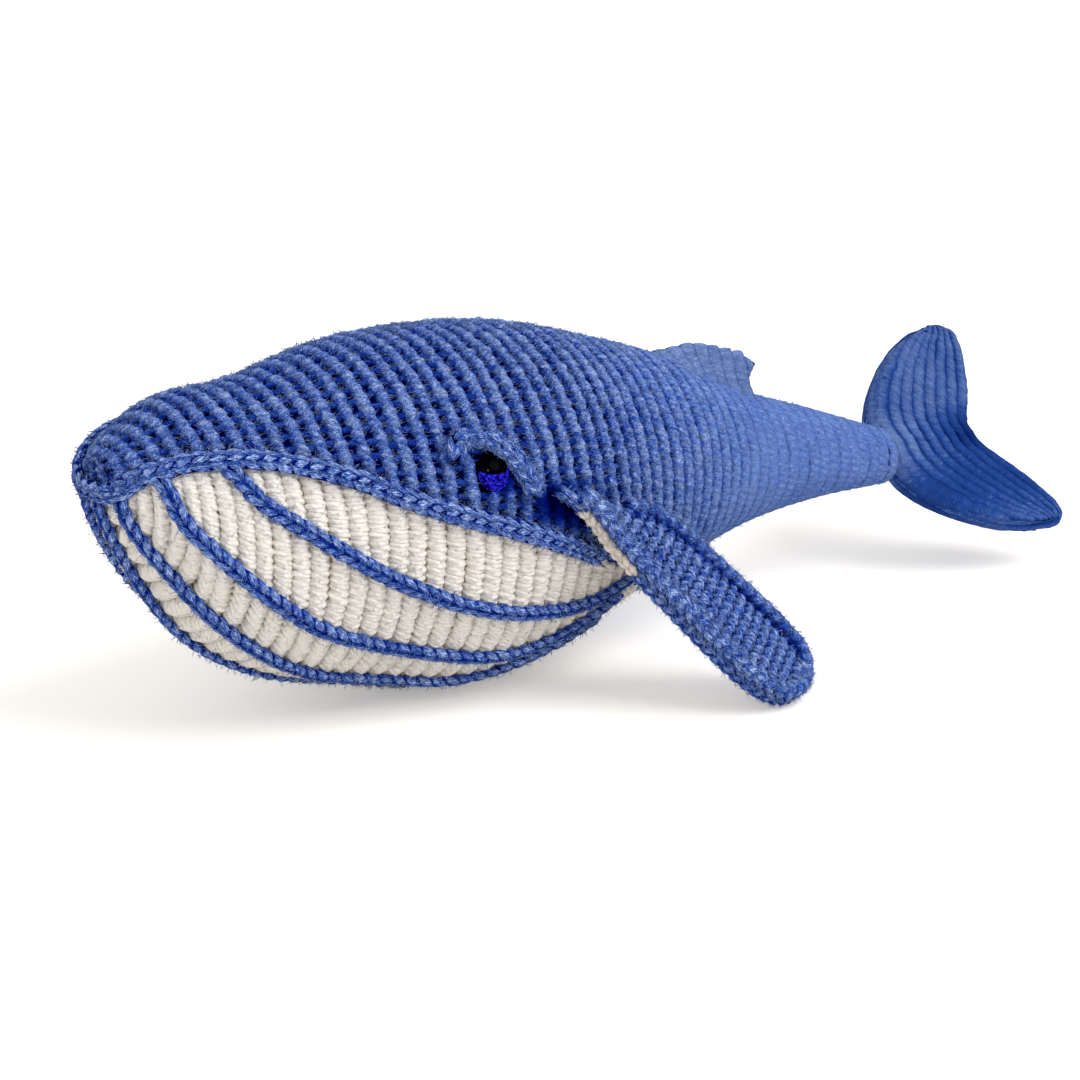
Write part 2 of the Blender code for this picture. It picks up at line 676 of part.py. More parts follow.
def build_flukes(parts):
    """Make the two layers of the flukes, on the hinge at the end of the tail stock."""
    middle, _, _ = body_section(1.0)
    hinge = bpy.data.objects.new("flukes_hinge", None)
    parts.objects.link(hinge)
    place = Vector((0.0, body_y(1.0) + SEAM_GAP + FLUKE_ROOT_RADIUS, middle))
    hinge.matrix_world = Matrix.Translation(place) @ Matrix.Rotation(FLUKE_BANK, 4, "Y")
    bpy.context.view_layer.update()
    spans = [-share for share in FLUKE_SPAN_SHARES[:0:-1]] + list(FLUKE_SPAN_SHARES)
    for name, level in (("flukes_upper_panel", 1), ("flukes_lower_panel", -1)):
        layer = loft(name, [fluke_ring(span, level, FLUKE_ROOT_RADIUS) for span in spans], parts)
        layer.parent = hinge
        finish(layer, BLUE_YARN)


def main():
    """Build the whale."""
    clear_scene()
    parts = new_collection("crocheted_whale")
    cutters = new_collection("cutters")
    back, stuffing = build_body(parts, cutters)
    build_chains(parts, cutters)
    for side, sign in (("left", 1), ("right", -1)):
        build_eye(side, sign, back, stuffing, parts, cutters)
        build_flipper(side, sign, parts)
    build_dorsal_fin(parts)
    build_flukes(parts)


main()
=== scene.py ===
"""The looks of a crocheted whale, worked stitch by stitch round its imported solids.

Every piece lies in the frame of the solids: metres, +Z up, the nose towards -Y.
"""

import json
import logging
import math
from dataclasses import dataclass, field, replace
from enum import Enum
from typing import Callable, Iterable, Sequence

import bmesh
import bpy
import numpy as np
from mathutils import Matrix, Vector


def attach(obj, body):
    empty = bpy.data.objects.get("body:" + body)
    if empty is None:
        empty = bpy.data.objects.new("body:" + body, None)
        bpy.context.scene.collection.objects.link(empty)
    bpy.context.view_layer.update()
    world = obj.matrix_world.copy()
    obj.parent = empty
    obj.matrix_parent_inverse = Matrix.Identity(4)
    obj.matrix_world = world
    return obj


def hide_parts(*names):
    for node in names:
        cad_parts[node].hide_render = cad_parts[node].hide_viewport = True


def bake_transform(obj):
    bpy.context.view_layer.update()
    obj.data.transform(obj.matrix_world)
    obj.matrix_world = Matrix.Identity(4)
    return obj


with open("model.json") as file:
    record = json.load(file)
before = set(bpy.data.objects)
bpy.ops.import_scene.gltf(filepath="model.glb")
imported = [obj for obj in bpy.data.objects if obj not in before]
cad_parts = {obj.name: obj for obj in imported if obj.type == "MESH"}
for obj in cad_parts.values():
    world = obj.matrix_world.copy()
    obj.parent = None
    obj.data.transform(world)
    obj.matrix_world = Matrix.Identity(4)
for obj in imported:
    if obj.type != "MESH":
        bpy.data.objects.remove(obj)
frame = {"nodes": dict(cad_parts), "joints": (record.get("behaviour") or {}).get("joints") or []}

LOG = logging.getLogger("crocheted_whale")
MM = 0.001
TURN = 2 * math.pi
WELD_REACH = 1e-6
FLOOR = 0.0001
SEED = 20

# Where each body section stands: along the body, its top, its bottom, its width
BODY_SHARES = (
    (0.00, 0.767, 0.767, 0.000),
    (0.03, 0.847, 0.507, 0.417),
    (0.08, 0.913, 0.296, 0.651),
    (0.16, 0.931, 0.143, 0.767),
    (0.26, 0.991, 0.060, 0.887),
    (0.36, 1.000, 0.000, 1.000),
    (0.46, 0.973, 0.027, 0.970),
    (0.56, 0.899, 0.105, 0.799),
    (0.66, 0.805, 0.184, 0.600),
    (0.76, 0.672, 0.250, 0.420),
    (0.88, 0.556, 0.278, 0.280),
    (1.00, 0.438, 0.272, 0.167),
)

# The seam between back and belly, seen from the side: along the body, then height
SEAM_LINE_SHARES = (
    (-0.020, 0.700), (0.003, 0.712), (0.014, 0.745), (0.040, 0.778), (0.078, 0.790), (0.118, 0.776),
    (0.160, 0.745), (0.200, 0.706), (0.240, 0.650), (0.290, 0.590), (0.348, 0.530), (0.393, 0.478),
    (0.444, 0.414), (0.500, 0.330), (0.545, 0.250), (0.580, 0.160), (0.600, 0.050), (0.610, -0.100),
)
MOUTH_END_SHARE = 0.455

# Throat chains of one side: along the body, then the angle from the top in half turns
CENTRE_CHAIN_SHARES = (
    (0.006, 1.0), (0.03, 1.0), (0.08, 1.0), (0.16, 1.0), (0.26, 1.0), (0.36, 1.0), (0.46, 1.0), (0.565, 1.0),
)
SIDE_CHAIN_SHARES = (
    ((0.009, 0.640), (0.013, 0.705), (0.024, 0.750), (0.054, 0.765), (0.105, 0.794), (0.156, 0.828),
     (0.213, 0.855), (0.305, 0.855), (0.347, 0.840), (0.404, 0.817), (0.450, 0.790), (0.495, 0.760)),
    ((0.033, 0.380), (0.036, 0.425), (0.040, 0.480), (0.052, 0.535), (0.087, 0.594), (0.132, 0.644),
     (0.173, 0.683), (0.217, 0.711), (0.262, 0.733), (0.318, 0.744), (0.381, 0.755), (0.427, 0.748),
     (0.481, 0.731), (0.515, 0.712)),
    ((0.087, 0.333), (0.096, 0.370), (0.110, 0.408), (0.150, 0.461), (0.182, 0.505), (0.231, 0.567),
     (0.287, 0.611), (0.339, 0.633), (0.390, 0.652), (0.447, 0.672), (0.487, 0.675), (0.525, 0.669)),
)

# The eye and its lid: along the body, then the angle from the top in half turns
EYE_PLACE_SHARES = (0.330, 0.386)
EYELID_SHARES = (
    (0.290, 0.350), (0.297, 0.322), (0.317, 0.312), (0.338, 0.318), (0.357, 0.356), (0.372, 0.425),
)

# The root seam of a flipper, and its outline: back along the seam, then outwards
ROOT_SHARES = ((0.401, 0.433), (0.502, 0.494))
FLIPPER_OUTLINE_SHARES = (
    (-0.230, 0.00), (-0.110, 0.11), (-0.040, 0.27), (0.070, 0.43), (0.190, 0.59), (0.300, 0.74),
    (0.440, 0.90), (0.565, 0.98), (0.670, 0.985), (0.770, 0.93), (0.840, 0.83), (0.865, 0.70),
    (0.770, 0.53), (0.620, 0.36), (0.455, 0.18), (0.325, 0.065), (0.210, 0.00), (0.080, 0.00),
)

# The dorsal fin: along its base, then above the back, for its upper and its lower edge
DORSAL_START_SHARE = 0.650
DORSAL_UPPER_SHARES = (
    (0.00, 0.02), (0.20, 0.36), (0.40, 0.72), (0.60, 0.92), (0.80, 1.00), (0.92, 0.95), (1.00, 0.80),
)
DORSAL_LOWER_SHARES = (
    (0.00, -0.10), (0.50, -0.10), (0.90, -0.10), (0.93, 0.30), (0.955, 0.55), (1.00, 0.78),
)

# Half of the flukes' outline: outwards, then back, for the leading and the trailing edge
FLUKE_LEAD_SHARES = (
    (0.00, 0.00), (0.20, 0.00), (0.27, 0.015), (0.38, 0.05), (0.50, 0.11), (0.62, 0.19), (0.77, 0.33),
    (0.90, 0.50), (0.98, 0.70), (1.00, 0.82),
)
FLUKE_TRAIL_SHARES = (
    (0.00, 0.74), (0.12, 0.75), (0.25, 0.81), (0.44, 0.90), (0.65, 0.96), (0.83, 0.98), (0.96, 0.94),
    (1.00, 0.88),
)


class Side(Enum):
    """A side of the whale, as its own left and right."""

    LEFT = "left"
    RIGHT = "right"


class Level(Enum):
    """A layer of the flukes."""

    UPPER = 1
    LOWER = -1


def unit(vectors: np.ndarray) -> np.ndarray:
    """Give vectors a length of one.

    Args:
        vectors: Vectors along the last axis.

    Returns:
        Unit vectors of the same shape.
    """
    return vectors / np.maximum(np.linalg.norm(vectors, axis=-1, keepdims=True), 1e-12)


def smooth_curve(rows: Sequence[Sequence[float]], at: np.ndarray) -> np.ndarray:
    """Read a smooth curve through the rows of a table.

    Args:
        rows: Each row is a place followed by the values there.
        at: The places to read.

    Returns:
        One row of values for each place.
    """
    table = np.asarray(rows, float)
    places, values = table[:, 0], table[:, 1:]
    gaps = np.diff(places)[:, None]
    slopes = np.diff(values, axis=0) / gaps
    inner = (slopes[:-1] * gaps[1:] + slopes[1:] * gaps[:-1]) / (gaps[:-1] + gaps[1:])
    leans = np.concatenate((slopes[:1], inner, slopes[-1:]))
    index = np.clip(np.searchsorted(places, at, side="left") - 1, 0, len(places) - 2)
    span = gaps[index]
    part = ((at - places[index])[:, None]) / span
    rest = 1 - part
    return (values[index] * (1 + 2 * part) * rest ** 2
            + values[index + 1] * part ** 2 * (3 - 2 * part)
            + span * (leans[index] * part * rest ** 2 - leans[index + 1] * part ** 2 * rest))


def curve_through(points: Sequence[Sequence[float]], count: int) -> np.ndarray:
    """Sample a smooth curve through points at even steps of its parameter.

    Args:
        points: The points, of any number of coordinates.
        count: How many steps to take.

    Returns:
        The samples, one more than the steps.
    """
    rows = [(place, *point) for place, point in enumerate(points)]
    return smooth_curve(rows, np.linspace(0, len(points) - 1, count + 1))


def reach_along(points: np.ndarray) -> np.ndarray:
    """Return how far along a line each of its points lies."""
    return np.concatenate(([0.0], np.cumsum(np.linalg.norm(np.diff(points, axis=0), axis=1))))


def spread(points: np.ndarray, pitch: float, centred: bool = True) -> np.ndarray:
    """Find evenly spaced stations on a line of points.

    Args:
        points: The line.
        pitch: The wanted distance between stations, which is rounded to fit.
        centred: Whether a station lies half a pitch from each end, or on the ends.

    Returns:
        The stations as fractional indices into the line.
    """
    reach = reach_along(points)
    count = max(3, round(reach[-1] / pitch))
    goals = (np.arange(count) + 0.5) / count if centred else np.arange(count + 1) / count
    return np.interp(goals * reach[-1], reach, np.arange(len(points)))


def between(values: np.ndarray, stations: np.ndarray) -> np.ndarray:
    """Read rows of values at fractional indices.

    Args:
        values: One row for each point of a line.
        stations: Fractional indices.

    Returns:
        One row for each station.
    """
    low = np.clip(np.floor(stations).astype(int), 0, len(values) - 2)
    part = (stations - low)[:, None]
    return values[low] * (1 - part) + values[low + 1] * part


def runs(kept: np.ndarray) -> list[slice]:
    """Find the stretches of a row in which all is kept."""
    edges = np.flatnonzero(np.diff(np.concatenate(([False], kept, [False])).astype(int)))
    return [slice(start, end) for start, end in zip(edges[::2], edges[1::2])]


@dataclass
class Shape:
    """A mesh as arrays, with a map in millimetres and turns of yarn, and a tone for each point, which
    carries painted light and shade.
    """

    points: np.ndarray
    quads: np.ndarray
    triangles: np.ndarray
    quad_map: np.ndarray
    triangle_map: np.ndarray
    tones: np.ndarray

    @classmethod
    def of_grid(cls, points: np.ndarray, flipped: bool, tone: float) -> "Shape":
        """Skin a grid of points.

        Args:
            points: Rows of columns of points.
            flipped: Whether the faces point the other way.
            tone: The tone of the points.

        Returns:
            The open surface.
        """
        rows, columns = points.shape[:2]
        at = np.arange(rows * columns).reshape(rows, columns)
        quads = np.stack((at[:-1, :-1], at[:-1, 1:], at[1:, 1:], at[1:, :-1]), axis=-1).reshape(-1, 4)
        if flipped:
            quads = quads[:, ::-1]
        flat = points.reshape(-1, 3)
        corners = flat[quads] / MM
        quad_map = np.stack((corners[..., 1], corners[..., 0] + corners[..., 2]), axis=-1) / 10
        return cls(flat, quads, np.zeros((0, 3), int), quad_map, np.zeros((0, 3, 2)),
                   np.full(len(flat), tone))

    @classmethod
    def of_rings(cls, rings: np.ndarray, ends: np.ndarray, reach: np.ndarray, tones: np.ndarray) -> "Shape":
        """Skin closed rings into a tube with a point at each end.

        Args:
            rings: Rings of points, the same count in each.
            ends: The point before the first ring and the one behind the last.
            reach: How far along the tube each ring lies.
            tones: The tone of each point of each ring.

        Returns:
            The closed tube, with its map running along and around it.
        """
        count, sides = rings.shape[:2]
        at = np.arange(count * sides).reshape(count, sides)
        beside = np.roll(at, -1, axis=1)
        quads = np.stack((at[:-1], beside[:-1], beside[1:], at[1:]), axis=-1).reshape(-1, 4)
        tips = [np.full(sides, count * sides + i) for i in range(2)]
        triangles = np.concatenate((np.stack((tips[0], beside[0], at[0]), axis=-1),
                                    np.stack((tips[1], at[-1], beside[-1]), axis=-1)))
        place = reach / MM
        turn = np.arange(sides) / sides
        near, far = np.meshgrid(place[:-1], turn, indexing="ij"), np.meshgrid(place[1:], turn, indexing="ij")
        step = 1 / sides
        corners = ((near[0], near[1]), (near[0], near[1] + step), (far[0], far[1] + step), (far[0], far[1]))
        quad_map = np.stack([np.stack(corner, axis=-1) for corner in corners], axis=-2).reshape(-1, 4, 2)
        caps = []
        for edge, order in ((place[0], (0.5, 1.0, 0.0)), (place[-1], (0.5, 0.0, 1.0))):
            caps.append(np.stack([np.stack((np.full(sides, edge), turn + step * share), axis=-1)
                                  for share in order], axis=1))
        points = np.concatenate((rings.reshape(-1, 3), ends))
        shades = np.concatenate((tones.ravel(), tones[[0, -1]].mean(axis=1)))
        return cls(points, quads, triangles, quad_map, np.concatenate(caps), shades).turned_out()

    @classmethod
    def of_lists(cls, points: np.ndarray, faces: dict[int, list], maps: dict[int, list],
                 tones: np.ndarray) -> "Shape":
        """Take faces that are listed by how many corners they have.

        Args:
            points: The points.
            faces: The corners of each face, under 3 and under 4.
            maps: The map of each face, likewise.
            tones: The tone of each point.

        Returns:
            The shape.
        """
        return cls(points,
                   np.array(faces[4], int).reshape(-1, 4), np.array(faces[3], int).reshape(-1, 3),
                   np.array(maps[4], float).reshape(-1, 4, 2), np.array(maps[3], float).reshape(-1, 3, 2),
                   tones)

    @classmethod
    def of_mesh(cls, mesh: bpy.types.Mesh, tone: float = 1.0) -> "Shape":
        """Read a mesh whose faces have three or four corners.

        Args:
            mesh: The mesh, with a UV map.
            tone: The tone of its points.

        Returns:
            The same mesh as arrays.
        """
        points = np.array([vertex.co for vertex in mesh.vertices])
        layer = mesh.uv_layers.active
        faces: dict[int, list] = {3: [], 4: []}
        maps: dict[int, list] = {3: [], 4: []}
        for polygon in mesh.polygons:
            faces[polygon.loop_total].append(list(polygon.vertices))
            corners = [tuple(layer.data[i].uv) if layer else (0.0, 0.0) for i in polygon.loop_indices]
            maps[polygon.loop_total].append(corners)
        return cls.of_lists(points, faces, maps, np.full(len(points), tone))

    def welded(self) -> "Shape":
        """Merge points that coincide, and turn faces that lose a corner into triangles."""
        keys = np.round(self.points / WELD_REACH).astype(np.int64)
        _, first, index = np.unique(keys, axis=0, return_index=True, return_inverse=True)
        index = index.reshape(-1)
        faces: dict[int, list] = {3: [], 4: []}
        maps: dict[int, list] = {3: [], 4: []}
        for face, corners in (*zip(index[self.quads], self.quad_map),
                              *zip(index[self.triangles], self.triangle_map)):
            kept = [i for i in range(len(face)) if face[i] != face[i - 1]]
            if len(kept) > 2 and len(set(face[kept])) == len(kept):
                faces[len(kept)].append(face[kept])
                maps[len(kept)].append(corners[kept])
        return Shape.of_lists(self.points[first], faces, maps, self.tones[first])

    def volume(self) -> float:
        """Return the signed volume, which is positive where the faces point out."""
        parts = [self.triangles, self.quads[:, [0, 1, 2]], self.quads[:, [0, 2, 3]]]
        corners = self.points[np.concatenate(parts)]
        return float(np.einsum("ij,ij->i", corners[:, 0], np.cross(corners[:, 1], corners[:, 2])).sum() / 6)

    def turned_out(self) -> "Shape":
        """Flip the faces if they point in."""
        return self if self.volume() >= 0 else self.flipped()

    def flipped(self) -> "Shape":
        """Turn every face round."""
        return replace(self, quads=self.quads[:, ::-1], triangles=self.triangles[:, ::-1],
                       quad_map=self.quad_map[:, ::-1], triangle_map=self.triangle_map[:, ::-1])

    def mirrored(self) -> "Shape":
        """Mirror to the other side of the whale."""
        return replace(self.flipped(), points=self.points * np.array((-1.0, 1.0, 1.0)))

    def moved(self, matrix: Matrix) -> "Shape":
        """Carry the points by a matrix that turns and moves them."""
        turn = np.array(matrix.to_3x3())
        return replace(self, points=self.points @ turn.T + np.array(matrix.translation))

    def to_object(self, name: str, material: bpy.types.Material) -> bpy.types.Object:
        """Make an object of the mesh.

        Args:
            name: The piece's name.
            material: Its material.

        Returns:
            The object, pressed flat where it meets the floor, with a UV map named yarn and an
            attribute named tone.
        """
        mesh = bpy.data.meshes.new(name)
        mesh.vertices.add(len(self.points))
        points = np.maximum(self.points, (-np.inf, -np.inf, FLOOR))
        mesh.vertices.foreach_set("co", points.astype(np.float32).ravel())
        corners = np.concatenate((self.quads.ravel(), self.triangles.ravel())).astype(np.int32)
        quad_starts = np.arange(len(self.quads)) * 4
        triangle_starts = len(self.quads) * 4 + np.arange(len(self.triangles)) * 3
        starts = np.concatenate((quad_starts, triangle_starts)).astype(np.int32)
        mesh.loops.add(len(corners))
        mesh.loops.foreach_set("vertex_index", corners)
        mesh.polygons.add(len(starts))
        mesh.polygons.foreach_set("loop_start", starts)
        mesh.update(calc_edges=True)
        layer = mesh.uv_layers.new(name="yarn")
        places = np.concatenate((self.quad_map.reshape(-1, 2), self.triangle_map.reshape(-1, 2)))
        layer.data.foreach_set("uv", places.astype(np.float32).ravel())
        attribute = mesh.attributes.new("tone", "FLOAT", "POINT")
        attribute.data.foreach_set("value", self.tones.astype(np.float32))
        mesh.shade_smooth()
        mesh.materials.append(material)
        item = bpy.data.objects.new(name, mesh)
        bpy.context.scene.collection.objects.link(item)
        return item


def joined(shapes: Iterable[Shape]) -> Shape:
    """Join shapes into one.

    Args:
        shapes: The shapes, in order.

    Returns:
        One shape that holds them all.
    """
    parts = list(shapes)
    starts = np.concatenate(([0], np.cumsum([len(part.points) for part in parts])[:-1]))
    parts = [replace(part, quads=part.quads + start, triangles=part.triangles + start)
             for part, start in zip(parts, starts)]
    names = ("points", "quads", "triangles", "quad_map", "triangle_map", "tones")
    return Shape(*(np.concatenate([getattr(part, name) for part in parts]) for name in names))


def capped(rings: np.ndarray, tone: float) -> Shape:
    """Skin rings whose last point lies on their first, and draw both ends together.

    Args:
        rings: The rings of points.
        tone: The tone of the points.

    Returns:
        The closed shape.
    """
    ends = [np.tile(rings[i].mean(axis=0), (1, rings.shape[1], 1)) for i in (0, -1)]
    return Shape.of_grid(np.concatenate((ends[0], rings, ends[1])), False, tone).welded().turned_out()


def deepen(shape: Shape, line: np.ndarray, reach: float, depth: float) -> None:
    """Darken the tones of a shape near a line, as in a fold that light hardly reaches.

    Args:
        shape: The shape.
        line: Close points along the line.
        reach: How far the dark spreads.
        depth: How dark it is on the line, up to 1.
    """
    away = np.full(len(shape.points), np.inf)
    for point in line:
        away = np.minimum(away, ((shape.points - point) ** 2).sum(axis=1))
    shape.tones = shape.tones * (1 - depth * np.exp(-away / reach ** 2))


def select_points(item: bpy.types.Object, test: Callable[[Vector], bool]) -> None:
    """Select the points of an object in edit mode that pass a test.

    Args:
        item: The object.
        test: Tells whether a point is selected, from its place.
    """
    form = bmesh.from_edit_mesh(item.data)
    for vertex in form.verts:
        vertex.select = test(vertex.co)
    form.select_flush_mode()
    bmesh.update_edit_mesh(item.data)


def start_editing(add: Callable, **sizes) -> bpy.types.Object:
    """Add a primitive with a radius of one and open it in edit mode, with all of it selected.

    Args:
        add: The operator that adds it.
        **sizes: Its other sizes.

    Returns:
        The object.
    """
    bpy.ops.object.select_all(action="DESELECT")
    add(radius=1.0, **sizes)
    bpy.ops.object.mode_set(mode="EDIT")
    bpy.ops.mesh.select_all(action="SELECT")
    return bpy.context.object


def finish_editing(item: bpy.types.Object) -> Shape:
    """Leave edit mode, and turn the object into a shape."""
    bpy.ops.object.mode_set(mode="OBJECT")
    shape = Shape.of_mesh(item.data)
    bpy.data.meshes.remove(item.data)
    return shape


@dataclass(frozen=True)
class Strand:
    """A short length of yarn that shows between two loops, with half sizes of one."""

    sides: int = 8
    rings: int = 6
    droop: float = 0.6
    taper: float = 0.0

    def model(self) -> Shape:
        """Model the strand with its length along X and its crown towards +Z.

        Returns:
            The strand, with its map running along and around the yarn.
        """
        item = start_editing(bpy.ops.mesh.primitive_uv_sphere_add, segments=self.sides,
                             ring_count=self.rings)
        bpy.ops.transform.rotate(value=TURN / 4, orient_axis="Y", center_override=(0.0, 0.0, 0.0))
        for reach, sink in ((0.3, 0.25), (0.7, 0.45), (0.95, 0.3)):
            select_points(item, lambda place, least=reach: abs(place.x) > least)
            bpy.ops.transform.translate(value=(0.0, 0.0, -self.droop * sink))
        if self.taper > 0:
            for reach in (0.3, 0.7):
                select_points(item, lambda place, least=reach: place.x > least)
                bpy.ops.transform.resize(value=(1.0, 1 - self.taper, 1 - self.taper))
        shape = finish_editing(item)
        for faces, places in ((shape.quads, shape.quad_map), (shape.triangles, shape.triangle_map)):
            places[..., 1] = places[..., 0]
            places[..., 0] = shape.points[faces][..., 0]
        return shape.turned_out()


@dataclass(frozen=True)
class Hair:
    """A loose fibre that stands off the yarn, with a length of one and a root radius of one."""

    sides: int = 3
    bend: float = 3.0

    def model(self) -> Shape:
        """Model the fibre from its root at the origin along X.

        Returns:
            The fibre, closed at both ends.
        """
        item = start_editing(bpy.ops.mesh.primitive_cylinder_add, vertices=self.sides, depth=1.0)
        bpy.ops.transform.rotate(value=TURN / 4, orient_axis="Y", center_override=(0.0, 0.0, 0.0))
        bpy.ops.transform.translate(value=(0.5, 0.0, 0.0))
        select_points(item, lambda place: place.x > 0.5)
        bpy.ops.transform.translate(value=(-0.45, 0.0, self.bend))
        bpy.ops.transform.resize(value=(1.0, 0.8, 0.8))
        bpy.ops.mesh.extrude_region()
        bpy.ops.transform.translate(value=(0.45, 0.0, -0.3 * self.bend))
        bpy.ops.mesh.merge(type="CENTER")
        bpy.ops.mesh.select_all(action="SELECT")
        bpy.ops.mesh.normals_make_consistent(inside=False)
        return finish_editing(item).welded().turned_out()


@dataclass
class Stitcher:
    """Copies strands to their places, each a little unlike the next."""

    rng: np.random.Generator
    hair: Shape
    wobble: float = 0.07
    # shade: how much darker each strand's foot is than its crown, as painted shade
    shade: float = 0.45
    hair_length: float = 0.0017
    hair_radius: float = 0.00012

    def lay(self, strand: Shape, origins: np.ndarray, along: np.ndarray, up: np.ndarray,
            sizes: np.ndarray, tone: float, hairs: int = 0) -> Shape:
        """Copy a strand to many places.

        Args:
            strand: The strand, with half sizes of one.
            origins: The middle of each copy.
            along: The direction of each copy's length.
            up: The direction of each copy's crown.
            sizes: The half length, half width and half height of each copy.
            tone: The painted light on the yarn there, from painted shade in a hole at 0 to a lit crown at 1.
            hairs: How many loose fibres stand off each copy.

        Returns:
            All the copies in one shape.
        """
        strands = self.copy(strand, origins, along, up, sizes, tone, self.shade)
        if not hairs or not len(origins):
            return strands
        owner = np.repeat(np.arange(len(origins)), hairs)
        side = unit(np.cross(up, along))
        reach = self.rng.uniform(-0.85, 0.85, (len(owner), 1))
        turn = self.rng.uniform(-1.45, 1.45, (len(owner), 1))
        ring = np.sqrt(1 - reach ** 2)
        wide, high = np.sin(turn) * ring, np.cos(turn) * ring
        size = sizes[owner]
        roots = (origins[owner] + unit(along[owner]) * reach * size[:, :1]
                 + side[owner] * wide * size[:, 1:2] * 0.93 + up[owner] * high * size[:, 2:3] * 0.93)
        outward = unit(side[owner] * wide / size[:, 1:2] + up[owner] * high / size[:, 2:3])
        return joined((strands, self.fluff(roots, outward, side[owner] * np.sign(wide) * 0.5)))

    def fluff(self, roots: np.ndarray, outward: np.ndarray, lean: np.ndarray) -> Shape:
        """Stand loose fibres on the yarn, at the lightest tone, as painted sheen.

        Args:
            roots: Where they leave the yarn.
            outward: The direction away from the yarn there.
            lean: Which way they are brushed.

        Returns:
            The fibres, each bent its own way.
        """
        count = len(roots)
        heading = unit(outward * 0.5 + lean + self.rng.normal(0.0, 0.5, (count, 3)))
        crown = unit(np.cross(heading, self.rng.normal(0.0, 1.0, (count, 3))))
        lengths = self.hair_length * self.rng.uniform(0.5, 1.5, count)
        thin = np.full(count, self.hair_radius)
        return self.copy(self.hair, roots, heading, crown, np.stack((lengths, thin, thin), axis=1), 1.0, 0.0)

    def copy(self, strand: Shape, origins: np.ndarray, along: np.ndarray, up: np.ndarray,
             sizes: np.ndarray, tone: float, shade: float) -> Shape:
        """Copy a shape to many places, as lay does, with painted shade on the foot where shade is above 0.
        """
        count = len(origins)
        sway = self.rng.normal(0.0, self.wobble, (count, 2))
        side = unit(np.cross(up, along))
        along = unit(unit(along) + side * sway[:, :1])
        side = unit(np.cross(up, along))
        lift = np.cross(along, side)
        sizes = sizes * (1 + self.rng.normal(0.0, self.wobble, (count, 3)) * 0.6)
        local = strand.points[None] * sizes[:, None, :]
        points = (origins[:, None] + local[..., 0:1] * along[:, None]
                  + local[..., 1:2] * side[:, None] + local[..., 2:3] * lift[:, None])
        height = strand.points[:, 2]
        crown = (height - height.min()) / (height.max() - height.min())
        light = tone * (1 + sway[:, 1:] * 0.8)
        tones = light * (1 - shade * (1 - crown[None]))
        starts = np.arange(count)[:, None, None] * len(strand.points)
        phase = self.rng.random((count, 1, 1))
        maps = []
        for places in (strand.quad_map, strand.triangle_map):
            along_mm = places[None, ..., 0] * sizes[:, :1, None] / MM + phase * 10
            around = np.broadcast_to(places[None, ..., 1], along_mm.shape) + phase
            maps.append(np.stack((along_mm, around), axis=-1).reshape(-1, *places.shape[1:]))
        return Shape(points.reshape(-1, 3), (strand.quads[None] + starts).reshape(-1, 4),
                     (strand.triangles[None] + starts).reshape(-1, 3), maps[0], maps[1], tones.ravel())


